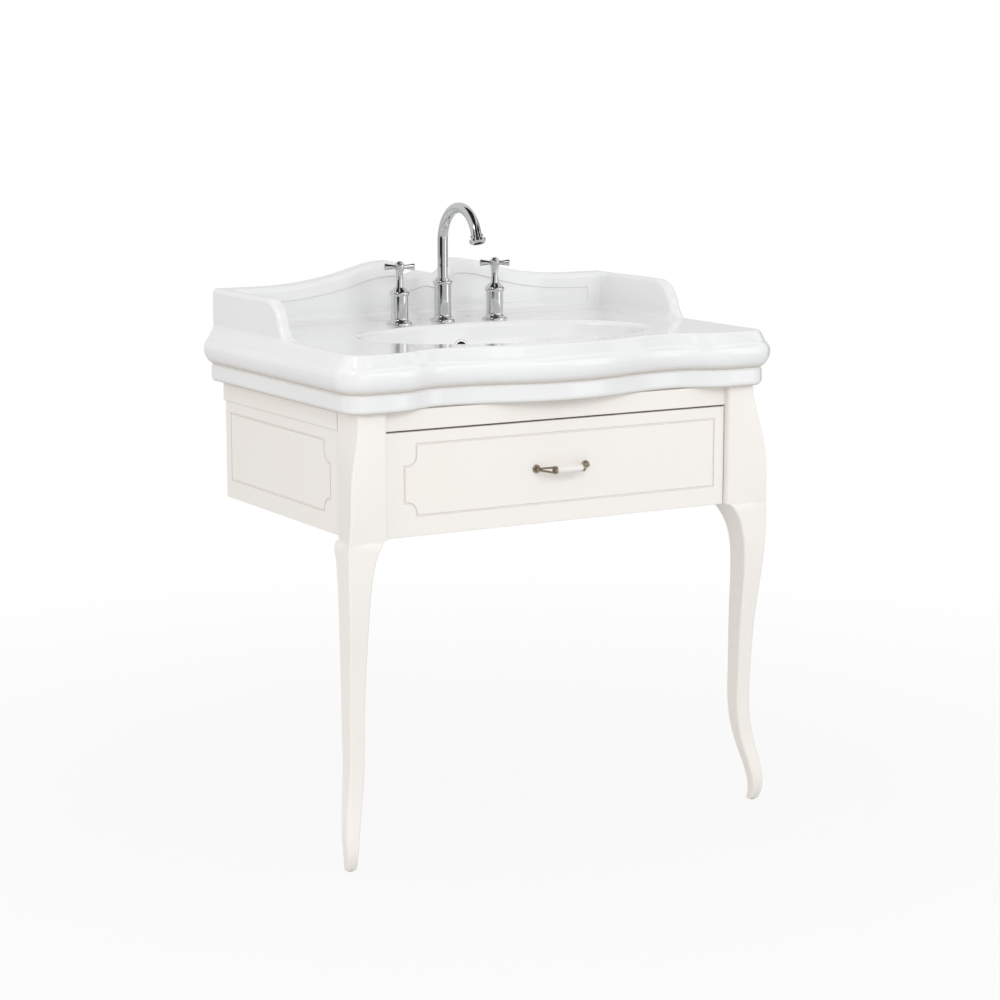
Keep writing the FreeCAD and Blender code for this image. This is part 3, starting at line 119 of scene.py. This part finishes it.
def opaque(colour):
    """A colour with its alpha."""
    return (*colour, 1.0)


def shade(colour, share):
    """A colour dimmed to a share of itself, with its alpha."""
    return opaque([channel * share for channel in colour])


class Socket:
    """An output that adds Math nodes where it stands in an expression."""

    def __init__(self, finish, output):
        self.finish = finish
        self.output = output

    def maths(self, operation, first, second):
        """The output of a Math node that is fed with two values."""
        return self.finish.add("ShaderNodeMath", {"operation": operation}, {0: first, 1: second})

    def __add__(self, other):
        return self.maths("ADD", self, other)

    def __sub__(self, other):
        return self.maths("SUBTRACT", self, other)

    def __rsub__(self, other):
        return self.maths("SUBTRACT", other, self)

    def __mul__(self, other):
        return self.maths("MULTIPLY", self, other)

    def __gt__(self, other):
        return self.maths("GREATER_THAN", self, other)

    __radd__ = __add__
    __rmul__ = __mul__


class Finish:
    """A material and the nodes that make it, or a node tree of its own, such as the world's."""

    def __init__(self, name, tree=None):
        self.material = None
        self.tree = tree
        if tree is None:
            self.material = bpy.data.materials.new(name)
            self.material.use_nodes = True
            self.tree = self.material.node_tree

    def add(self, kind, settings=None, inputs=None, output=0):
        """Add a node, set it up, feed its sockets and return one of its outputs."""
        node = self.tree.nodes.new(kind)
        for name, value in (settings or {}).items():
            setattr(node, name, value)
        for key, value in (inputs or {}).items():
            self.feed(node.inputs[key], value)
        return Socket(self, node.outputs[output])

    def feed(self, socket, value):
        """Link a socket to an output, or set its value."""
        if isinstance(value, Socket):
            self.tree.links.new(value.output, socket)
        else:
            socket.default_value = value

    def surface(self, **inputs):
        """Feed the main shader's sockets, named with underscores for spaces."""
        shader = self.tree.nodes["Principled BSDF"]
        for name, value in inputs.items():
            self.feed(shader.inputs[name.replace("_", " ").title().replace("Ior", "IOR")], value)

    def mix_surface(self, share, first, second):
        """Make the surface a mix of two shaders."""
        mixed = self.add("ShaderNodeMixShader", inputs={0: share, 1: first, 2: second})
        self.feed(self.tree.nodes["Material Output"].inputs["Surface"], mixed)

    def place(self, scale=(1.0, 1.0, 1.0)):
        """Object coordinates, stretched for a grain that runs one way."""
        here = self.add("ShaderNodeTexCoord", output="Object")
        return self.add("ShaderNodeMapping", inputs={"Vector": here, "Scale": scale})

    def upright(self, vector):
        """The upright part of a vector."""
        return self.add("ShaderNodeSeparateXYZ", inputs={0: vector}, output="Z")

    def noise(self, where, scale, detail=2.0, roughness=0.5):
        """A cloudy value round 0.5."""
        return self.add("ShaderNodeTexNoise", inputs={
            "Vector": where, "Scale": scale, "Detail": detail, "Roughness": roughness})

    def blend(self, share, first, second):
        """A colour between two others."""
        settings = {"data_type": "RGBA", "clamp_factor": True}
        inputs = {MIX_SHARE: share, MIX_FIRST: first, MIX_SECOND: second}
        return self.add("ShaderNodeMix", settings, inputs, MIX_RESULT)

    def band(self, value, low, high):
        """A value stretched so that low gives 0 and high gives 1, and held between them."""
        inputs = {"Value": value, "From Min": low, "From Max": high}
        return self.add("ShaderNodeMapRange", {"clamp": True}, inputs)

    def hollow(self, reach):
        """How far a point lies in a groove or an inner corner, from 0 to 1."""
        settings = {"samples": HOLLOW_SAMPLES, "only_local": True}
        return 1.0 - self.add("ShaderNodeAmbientOcclusion", settings, {"Distance": reach}, "AO")

    def soft_edge(self, radius):
        """The normal of edges that are eased by a small radius."""
        return self.add("ShaderNodeBevel", {"samples": EDGE_SAMPLES}, {"Radius": radius})

    def bump(self, height, distance, strength, normal=None):
        """A normal that follows a height, over another normal where one is given."""
        inputs = {"Height": height, "Distance": distance, "Strength": strength}
        if normal is not None:
            inputs["Normal"] = normal
        return self.add("ShaderNodeBump", inputs=inputs)


def nodes_of(slot):
    """The solids that share one of the record's material slots."""
    return [part["node"] for part in frame["record"]["subparts"] if part["material_slot"] == slot]


def lies_across(name):
    """Whether a solid is longer from left to right than from front to back."""
    size = frame["nodes"][name].dimensions
    return size.x > size.y


def dress(finish, names):
    """Put a finish on solids of the frame."""
    for name in names:
        mesh = frame["nodes"][name].data
        mesh.materials.clear()
        mesh.materials.append(finish.material)


def glaze(name, colour, roughness):
    """Fired glaze: glossy, faintly uneven, a little greyer where it runs thin or pools."""
    finish = Finish(name)
    where = finish.place()
    cloud = finish.noise(where, scale=4.0, detail=3.0)
    ripple = finish.noise(where, scale=22.0)
    pooled = finish.band(cloud, low=0.35, high=0.75)
    finish.surface(
        base_color=finish.blend(pooled, opaque(colour), shade(colour, 0.965)),
        roughness=roughness + cloud * 0.05,
        coat_weight=GLAZE_COAT,
        coat_roughness=GLAZE_COAT_ROUGHNESS,
        normal=finish.bump(ripple, distance=GLAZE_RIPPLE, strength=0.25),
    )
    return finish


def basin_glaze(settings):
    """The casting's glaze, left off its underside, where the fired clay shows."""
    finish = Finish("white_glaze")
    where = finish.place()
    cloud = finish.noise(where, scale=4.0, detail=3.0)
    ripple = finish.noise(where, scale=20.0)
    grit = finish.noise(where, scale=900.0, detail=3.0)
    pooled = finish.band(cloud, low=0.35, high=0.75)
    glazed = finish.blend(pooled, opaque(settings.glaze), shade(settings.glaze, 0.97))
    facing = finish.upright(finish.add("ShaderNodeNewGeometry", output="Normal"))
    underside = finish.band(-1.0 * facing, low=0.55, high=0.8)
    upper = finish.band(finish.upright(where), low=GLAZE_LINE, high=GLAZE_LINE + GLAZE_FADE)
    bare = underside * (1.0 - upper)
    clay = finish.blend(grit, opaque(settings.clay), shade(settings.clay, 0.9))
    finish.surface(
        base_color=finish.blend(bare, glazed, clay),
        roughness=0.07 + cloud * 0.04 + bare * 0.6,
        coat_weight=GLAZE_COAT - bare * GLAZE_COAT,
        coat_roughness=GLAZE_COAT_ROUGHNESS,
        normal=finish.bump(ripple + bare * grit, distance=GLAZE_RIPPLE, strength=0.2),
    )
    return finish


def lacquer(name, settings, gloss):
    """Sprayed satin lacquer over primed wood, with painted shade darkening its grooves and corners.
    """
    finish = Finish(name)
    where = finish.place()
    cloud = finish.noise(where, scale=3.0, detail=3.0)
    peel = finish.noise(where, scale=420.0)
    pores = finish.noise(finish.place((90.0, 90.0, 6.0)), scale=6.0, detail=4.0, roughness=0.6)
    red, green, blue = settings.lacquer
    warm = opaque((red * 0.985, green * 0.97, blue * 0.95))
    body = finish.blend(finish.band(cloud, low=0.3, high=0.75), opaque(settings.lacquer), warm)
    # Painted shade: grooves and inner corners are blended towards the groove shade colour.
    groove_shade = finish.band(finish.hollow(settings.groove_shade_reach), low=0.22, high=0.75)
    skin = peel * 0.5 + pores * 0.5
    edge = finish.soft_edge(settings.edge_radius)
    finish.surface(
        base_color=finish.blend(groove_shade, body, opaque(settings.groove_shade)),
        roughness=gloss + cloud * 0.1,
        coat_weight=0.12,
        coat_roughness=0.25,
        normal=finish.bump(skin, distance=0.00012, strength=0.35, normal=edge),
    )
    return finish


def chrome(settings):
    """Polished plate: faint smears, painted shade in inner corners, and bores painted dark and dull
    as painted shade.
    """
    finish = Finish("chrome")
    smear = finish.noise(finish.place((1.0, 1.0, 3.0)), scale=30.0, detail=4.0, roughness=0.65)
    smudge = finish.band(smear, low=0.5, high=0.8)
    spots = finish.band(finish.noise(finish.place(), scale=160.0, detail=1.0), low=0.68, high=0.74)
    # Painted shade: inner corners within 4 mm are darkened to 72 % of the plate's colour.
    bloom_and_corner_shade = finish.band(finish.hollow(0.004), low=0.35, high=0.9)
    # Painted shade: deep in a bore the plate turns near black, rough and not metallic.
    bore = finish.band(finish.hollow(0.03), low=0.55, high=0.75)
    plate = finish.blend(bloom_and_corner_shade, opaque(settings.chrome), shade(settings.chrome, 0.72))
    finish.surface(
        base_color=finish.blend(bore, plate, DARK),
        metallic=1.0 - bore,
        roughness=0.035 + smudge * 0.06 + spots * 0.03 + bore * 0.5,
        normal=finish.bump(smear, distance=0.00005, strength=0.15),
    )
    return finish


def aged_brass(settings):
    """Brass with a brown patina, rubbed brighter on its proud edges."""
    finish = Finish("antique_brass")
    mottle = finish.noise(finish.place(), scale=160.0, detail=5.0, roughness=0.65)
    recess = finish.band(finish.hollow(0.005), low=0.1, high=0.6)
    patina = finish.band(mottle, low=0.35, high=0.65)
    share = finish.add("ShaderNodeMath", {"operation": "MAXIMUM"}, {0: patina * 0.55, 1: recess})
    finish.surface(
        base_color=finish.blend(share, opaque(settings.brass), opaque(settings.patina)),
        metallic=1.0,
        roughness=0.28 + share * 0.2,
        normal=finish.bump(mottle, distance=0.0002, strength=0.3, normal=finish.soft_edge(0.0006)),
    )
    return finish


def machined(name, colour, roughness):
    """Turned or pressed metal with fine tool marks along its length."""
    finish = Finish(name)
    marks = finish.noise(finish.place((60.0, 1.2, 60.0)), scale=14.0, detail=3.0, roughness=0.6)
    stain = finish.band(finish.noise(finish.place(), scale=24.0, detail=3.0), low=0.4, high=0.75)
    finish.surface(
        base_color=finish.blend(stain, opaque(colour), shade(colour, 0.8)),
        metallic=1.0,
        roughness=roughness + marks * 0.12,
        normal=finish.bump(marks, distance=0.00006, strength=0.4, normal=finish.soft_edge(0.0004)),
    )
    return finish


def rubber(settings):
    """Black moulded rubber with a dusty bloom."""
    finish = Finish("rubber")
    grain = finish.noise(finish.place(), scale=500.0, detail=3.0)
    dust = finish.band(finish.noise(finish.place(), scale=60.0, detail=3.0), low=0.45, high=0.8)
    bloom_and_corner_shade = opaque([channel + 0.03 for channel in settings.rubber])
    finish.surface(
        base_color=finish.blend(dust, opaque(settings.rubber), bloom_and_corner_shade),
        roughness=0.6 + grain * 0.2,
        normal=finish.bump(grain, distance=0.0001, strength=0.4),
    )
    return finish


def moulded(name, colour):
    """Injection-moulded plastic with a fine spark-eroded grain."""
    finish = Finish(name)
    grain = finish.noise(finish.place(), scale=1400.0)
    scuff = finish.band(finish.noise(finish.place(), scale=90.0, detail=3.0), low=0.5, high=0.8)
    finish.surface(
        base_color=finish.blend(scuff, opaque(colour), shade(colour, 0.85)),
        roughness=0.45 + grain * 0.15,
        normal=finish.bump(grain, distance=0.00008, strength=0.4, normal=finish.soft_edge(0.0005)),
    )
    return finish


def timber(name, settings, grain, gloss):
    """Sawn and lacquered wood: growth bands, pores and fine streaks along the grain."""
    finish = Finish(name)
    along = finish.place(grain)
    bands = finish.noise(along, scale=9.0, detail=3.0, roughness=0.55)
    streaks = finish.noise(along, scale=60.0, detail=4.0, roughness=0.6)
    pores = finish.band(finish.noise(along, scale=190.0), low=0.62, high=0.7)
    growth = finish.band(bands * 0.7 + streaks * 0.3, low=0.36, high=0.64)
    wood = finish.blend(growth, opaque(settings.birch), opaque(settings.birch_dark))
    edge = finish.soft_edge(0.001)
    finish.surface(
        base_color=finish.blend(pores * 0.45, wood, shade(settings.birch_dark, 0.6)),
        roughness=gloss + streaks * 0.15,
        coat_weight=0.1,
        coat_roughness=0.3,
        normal=finish.bump(streaks - pores, distance=0.00015, strength=0.35, normal=edge),
    )
    return finish


class VanityFinishes(bpy.types.PropertyGroup):
    """Colours of the finishes."""

    glaze: FloatVectorProperty(
        name="Glaze", description="Colour of the basin's glaze", subtype="COLOR",
        default=(0.86, 0.86, 0.86))
    clay: FloatVectorProperty(
        name="Clay", description="Colour of the bare fired clay", subtype="COLOR",
        default=(0.74, 0.70, 0.63))
    lacquer: FloatVectorProperty(
        name="Lacquer", description="Colour of the cream lacquer", subtype="COLOR",
        default=(0.89, 0.858, 0.818))
    # Colour of the painted shade in grooves and corners.
    groove_shade: FloatVectorProperty(
        name="Groove", description="Tone that settles in grooves", subtype="COLOR",
        default=(0.74, 0.70, 0.65))
    chrome: FloatVectorProperty(
        name="Chrome", description="Colour of the plated taps", subtype="COLOR",
        default=(0.69, 0.695, 0.70))
    brass: FloatVectorProperty(
        name="Brass", description="Rubbed brass of the pull", subtype="COLOR",
        default=(0.47, 0.39, 0.30))
    patina: FloatVectorProperty(
        name="Patina", description="Dark patina of the pull", subtype="COLOR",
        default=(0.17, 0.13, 0.095))
    porcelain: FloatVectorProperty(
        name="Porcelain", description="Colour of the pull's grip", subtype="COLOR",
        default=(0.84, 0.81, 0.78))
    steel: FloatVectorProperty(
        name="Steel", description="Zinc-plated steel", subtype="COLOR", default=(0.60, 0.62, 0.64))
    plain_brass: FloatVectorProperty(
        name="Plain brass", description="Machined brass nuts", subtype="COLOR",
        default=(0.72, 0.56, 0.30))
    rubber: FloatVectorProperty(
        name="Rubber", description="Seals and washers", subtype="COLOR",
        default=(0.03, 0.03, 0.032))
    plastic: FloatVectorProperty(
        name="Plastic", description="Foot glides", subtype="COLOR", default=(0.70, 0.67, 0.60))
    birch: FloatVectorProperty(
        name="Birch", description="Pale wood of the drawer box", subtype="COLOR",
        default=(0.78, 0.66, 0.48))
    birch_dark: FloatVectorProperty(
        name="Birch grain", description="Grain of the drawer box", subtype="COLOR",
        default=(0.62, 0.47, 0.30))
    # How far the painted groove shade spreads from a groove or corner.
    groove_shade_reach: FloatProperty(
        name="Groove reach", description="How far a groove's tone spreads", subtype="DISTANCE",
        default=0.0025)
    edge_radius: FloatProperty(
        name="Edge radius", description="How far lacquered edges are eased", subtype="DISTANCE",
        default=0.0014)


class VanityDetails(bpy.types.PropertyGroup):
    """The mouth of the overflow's channel, closed by a dark plate of painted shade."""

    channel_place: FloatVectorProperty(
        name="Channel", description="Where the overflow's unlit channel begins",
        subtype="TRANSLATION", default=(0.0, 0.1197, 0.7983))
    channel_tilt: FloatProperty(
        name="Channel tilt", description="How far the overflow leans back from upright",
        subtype="ANGLE", default=math.radians(72.46))
    channel_radius: FloatProperty(
        name="Channel radius", description="Radius of the overflow's bore", subtype="DISTANCE",
        default=0.0105)
    # Thickness of the dark plate of painted shade.
    channel_depth: FloatProperty(
        name="Channel depth", description="Thickness of the channel's dark end", subtype="DISTANCE",
        default=0.001)


class VanityStage(bpy.types.PropertyGroup):
    """The camera and the studio."""

    camera_place: FloatVectorProperty(
        name="Camera", description="Where the camera stands", subtype="TRANSLATION",
        default=(-2.1406, -3.6779, 1.2779))
    camera_target: FloatVectorProperty(
        name="Target", description="What the camera looks at", subtype="TRANSLATION",
        default=(-0.11758, -0.227, 0.58763))
    lens: FloatProperty(
        name="Lens", description="Focal length in millimetres", unit="CAMERA", default=88.68)
    key_power: FloatProperty(
        name="Key", description="Power of the key light", subtype="POWER", default=19.0)
    front_power: FloatProperty(
        name="Front", description="Power of the front light", subtype="POWER", default=23.0)
    side_power: FloatProperty(
        name="Side", description="Power of the side light", subtype="POWER", default=20.0)
    daylight: FloatVectorProperty(
        name="Daylight", description="Colour of the lights in front", subtype="COLOR",
        default=(0.97, 1.0, 1.03))
    lamplight: FloatVectorProperty(
        name="Lamplight", description="Colour of the side light", subtype="COLOR",
        default=(1.0, 0.965, 0.935))
    fill: FloatProperty(
        name="Fill", description="Strength of the light from all round", default=0.84)
    reflected: FloatProperty(
        name="Reflected", description="Strength of the studio in mirrors", default=0.75)
    floor: FloatVectorProperty(
        name="Floor", description="Colour of the floor", subtype="COLOR", default=(0.7, 0.7, 0.7))


class VANITY_OT_basin(bpy.types.Operator):
    """Glaze the basin"""

    bl_idname = "vanity.basin"
    bl_label = "Glaze the basin"

    def execute(self, context):
        dress(basin_glaze(context.scene.vanity_finishes), nodes_of("white_glaze"))
        return {"FINISHED"}


def overflow_channel(details, finish):
    """Painted shade for the unlit channel behind the overflow's ring: a dark plate across its bore.
    """
    lean = Matrix.Rotation(details.channel_tilt, 4, "X")
    place = Matrix.Translation(details.channel_place) @ lean
    shape = bmesh.new()
    bmesh.ops.create_cone(
        shape, cap_ends=True, cap_tris=False, segments=CHANNEL_SIDES,
        radius1=details.channel_radius, radius2=details.channel_radius,
        depth=details.channel_depth, matrix=place)
    mesh = bpy.data.meshes.new("overflow_channel")
    shape.to_mesh(mesh)
    shape.free()
    mesh.materials.append(finish.material)
    piece = bpy.data.objects.new("overflow_channel", mesh)
    bpy.context.scene.collection.objects.link(piece)
    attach(piece, "cabinet")


class VANITY_OT_taps(bpy.types.Operator):
    """Plate the taps, the waste and the overflow, and finish their fixings"""

    bl_idname = "vanity.taps"
    bl_label = "Plate the taps"

    def execute(self, context):
        finishes = context.scene.vanity_finishes
        dress(chrome(finishes), nodes_of("chrome"))
        nuts = machined("plain_brass", finishes.plain_brass, roughness=0.25)
        dress(nuts, nodes_of("plain_brass"))
        black = rubber(finishes)
        dress(black, nodes_of("rubber"))
        # The rubber's black finish also serves the overflow's plate as painted shade.
        overflow_channel(context.scene.vanity_details, black)
        return {"FINISHED"}


class VANITY_OT_cabinet(bpy.types.Operator):
    """Lacquer the legs, panels, rails and drawer front"""

    bl_idname = "vanity.cabinet"
    bl_label = "Lacquer the cabinet"

    def execute(self, context):
        finishes = context.scene.vanity_finishes
        dress(lacquer("cream_lacquer", finishes, gloss=0.3), nodes_of("cream_lacquer"))
        dress(lacquer("carcass_board", finishes, gloss=0.42), nodes_of("carcass_board"))
        dress(timber("beech", finishes, GRAIN_LEVEL, gloss=0.5), nodes_of("beech"))
        dress(moulded("glide_plastic", finishes.plastic), nodes_of("glide_plastic"))
        return {"FINISHED"}


class VANITY_OT_drawer(bpy.types.Operator):
    """Finish the drawer box and its runners"""

    bl_idname = "vanity.drawer"
    bl_label = "Finish the drawer"

    def execute(self, context):
        finishes = context.scene.vanity_finishes
        for name, grain, wide in (
            ("drawer_board", GRAIN_DEEP, False),
            ("cross_board", GRAIN_WIDE, True),
        ):
            boards = [node for node in nodes_of("drawer_board") if lies_across(node) == wide]
            dress(timber(name, finishes, grain, gloss=0.38), boards)
        dress(machined("zinc_steel", finishes.steel, roughness=0.26), nodes_of("zinc_steel"))
        return {"FINISHED"}


class VANITY_OT_pull(bpy.types.Operator):
    """Finish the drawer's pull"""

    bl_idname = "vanity.pull"
    bl_label = "Finish the pull"

    def execute(self, context):
        finishes = context.scene.vanity_finishes
        dress(aged_brass(finishes), nodes_of("antique_brass"))
        dress(glaze("porcelain", finishes.porcelain, roughness=0.1), nodes_of("porcelain"))
        return {"FINISHED"}


def aim(place, target):
    """A placement that looks from one point at another."""
    turn = (Vector(target) - Vector(place)).to_track_quat("-Z", "Y")
    return Matrix.Translation(Vector(place)) @ turn.to_matrix().to_4x4()


def add_light(name, place, target, size, power, colour):
    """A soft panel of light, which mirrors don't show."""
    lamp = bpy.data.lights.new(name, "AREA")
    lamp.color = colour
    lamp.shape = "RECTANGLE"
    lamp.size, lamp.size_y = size
    lamp.energy = power
    holder = bpy.data.objects.new(name, lamp)
    holder.matrix_world = aim(place, target)
    holder.visible_glossy = False
    bpy.context.scene.collection.objects.link(holder)


def seen_directly(finish):
    """1 where the camera sees a thing, straight or through glass."""
    camera = finish.add("ShaderNodeLightPath", output="Is Camera Ray")
    clear = finish.add("ShaderNodeLightPath", output="Is Transmission Ray")
    return (camera + clear) > 0.5


def stage_sheet(name, place, size, finish):
    """A flat sheet of the studio, which is no part of the object."""
    mesh = bpy.data.meshes.new(name)
    shape = bmesh.new()
    shape.loops.layers.uv.new()
    bmesh.ops.create_grid(shape, x_segments=1, y_segments=1, size=0.5, calc_uvs=True)
    bmesh.ops.scale(shape, vec=(*size, 1.0), verts=shape.verts)
    bmesh.ops.transform(shape, matrix=place, verts=shape.verts)
    shape.to_mesh(mesh)
    shape.free()
    sheet = bpy.data.objects.new(name, mesh)
    bpy.context.scene.collection.objects.link(sheet)
    mesh.materials.append(finish.material)
    return sheet


def floor_finish(colour):
    """A pale floor that the camera sees nearly white, with the object's shadow kept."""
    finish = Finish("studio_floor")
    speckle = finish.noise(finish.place(), scale=30.0, detail=3.0)
    tone = finish.blend(speckle, opaque(colour), shade(colour, 0.98))
    finish.surface(base_color=tone, roughness=0.9, specular_ior_level=0.0)
    matt = Socket(finish, finish.tree.nodes["Principled BSDF"].outputs[0])
    white = finish.add("ShaderNodeEmission", inputs={"Color": WHITE, "Strength": 1.0})
    here = finish.place()
    spread = finish.add("ShaderNodeVectorMath", {"operation": "LENGTH"}, {0: here}, "Value")
    far = finish.band(spread, low=FLOOR_FADE_START, high=FLOOR_FADE_END)
    whiteness = FLOOR_NEAR + far * (1.0 - FLOOR_NEAR)
    finish.mix_surface(seen_directly(finish) * whiteness, matt, white)
    return finish


def flag_finish():
    """Black cloth for the panels that polished metal reflects."""
    finish = Finish("studio_flag")
    weave = finish.noise(finish.place(), scale=200.0)
    finish.surface(base_color=finish.blend(weave, DARK, (0.03, 0.03, 0.03, 1.0)), roughness=0.95)
    return finish


def glow_finish(name, strength):
    """A lit sheet that fades towards its edges, for the highlights of gloss and metal."""
    finish = Finish(name)
    sheet = finish.add("ShaderNodeTexCoord", output="UV")
    across = finish.add("ShaderNodeSeparateXYZ", inputs={0: sheet}, output="X")
    up = finish.add("ShaderNodeSeparateXYZ", inputs={0: sheet}, output="Y")
    width = finish.band(across * (1.0 - across), low=0.0, high=0.16)
    height = finish.band(up * (1.0 - up), low=0.0, high=0.22)
    clear = finish.add("ShaderNodeBsdfTransparent")
    lit = finish.add("ShaderNodeEmission", inputs={"Color": WHITE, "Strength": strength})
    finish.mix_surface(width * height, clear, lit)
    return finish


def add_camera(stage):
    """The camera, at the photograph's viewing angle."""
    camera = bpy.data.cameras.new("camera")
    camera.lens = stage.lens
    camera.sensor_width = SENSOR_WIDTH
    camera.clip_end = FAR_CLIP
    holder = bpy.data.objects.new("camera", camera)
    holder.matrix_world = aim(stage.camera_place, stage.camera_target)
    bpy.context.scene.collection.objects.link(holder)
    bpy.context.scene.camera = holder


def add_mirrored(name, place, size, finish):
    """A sheet that only gloss and metal show."""
    sheet = stage_sheet(name, aim(place, SHEET_TARGET), size, finish)
    sheet.visible_camera = False
    sheet.visible_diffuse = False
    sheet.visible_shadow = False


def add_world(stage):
    """Even light from all round, seen as white by the camera and dimmer by mirrors."""
    world = bpy.data.worlds.new("studio")
    world.use_nodes = True
    bpy.context.scene.world = world
    air = Finish("studio", world.node_tree)
    glossy = air.add("ShaderNodeLightPath", output="Is Glossy Ray")
    seen = seen_directly(air) * (1.0 - stage.fill)
    mirrored = glossy * (stage.reflected - stage.fill)
    back = world.node_tree.nodes["Background"]
    air.feed(back.inputs["Color"], WHITE)
    air.feed(back.inputs["Strength"], stage.fill + seen + mirrored)


class VANITY_OT_stage(bpy.types.Operator):
    """Set the camera, the lights, the floor and the background"""

    bl_idname = "vanity.stage"
    bl_label = "Set the stage"

    def execute(self, context):
        stage = context.scene.vanity_stage
        context.scene.view_settings.view_transform = "Standard"
        add_camera(stage)
        centre = (CAD_BOX[0] + CAD_BOX[1]) / 2
        for name, place, size, power, colour in LIGHTS:
            add_light(name, place, centre, size, getattr(stage, power), getattr(stage, colour))
        span = (FLOOR_SPAN, FLOOR_SPAN)
        stage_sheet("floor", Matrix.Identity(4), span, floor_finish(stage.floor))
        cloth = flag_finish()
        for name, place, size in FLAGS:
            add_mirrored(name, place, size, cloth)
        for name, place, size, finish, strength in GLOWS:
            add_mirrored(name, place, size, glow_finish(finish, strength))
        add_world(stage)
        return {"FINISHED"}


OPERATORS = (
    VANITY_OT_basin,
    VANITY_OT_taps,
    VANITY_OT_cabinet,
    VANITY_OT_drawer,
    VANITY_OT_pull,
    VANITY_OT_stage,
)


class VANITY_PT_sidebar(bpy.types.Panel):
    """Lists the steps that dress the vanity unit"""

    bl_idname = "VANITY_PT_sidebar"
    bl_label = "Console vanity unit"
    bl_space_type = "VIEW_3D"
    bl_region_type = "UI"
    bl_category = "Vanity"

    def draw(self, context):
        for operator in OPERATORS:
            self.layout.operator(operator.bl_idname)
        for group in GROUPS:
            settings = getattr(context.scene, group)
            column = self.layout.column()
            for name in settings.__annotations__:
                column.prop(settings, name)


GROUPS = {
    "vanity_finishes": VanityFinishes,
    "vanity_details": VanityDetails,
    "vanity_stage": VanityStage,
}


def register():
    for cls in (*GROUPS.values(), *OPERATORS, VANITY_PT_sidebar):
        bpy.utils.register_class(cls)
    for name, group in GROUPS.items():
        setattr(bpy.types.Scene, name, PointerProperty(type=group))


def unregister():
    for name in GROUPS:
        delattr(bpy.types.Scene, name)
    for cls in (VANITY_PT_sidebar, *reversed(OPERATORS), *GROUPS.values()):
        bpy.utils.unregister_class(cls)


def main():
    """Dress the part and set the stage."""
    register()
    bpy.ops.vanity.basin()
    bpy.ops.vanity.taps()
    bpy.ops.vanity.cabinet()
    bpy.ops.vanity.drawer()
    bpy.ops.vanity.pull()
    bpy.ops.vanity.stage()


if __name__ == "__main__":
    main()
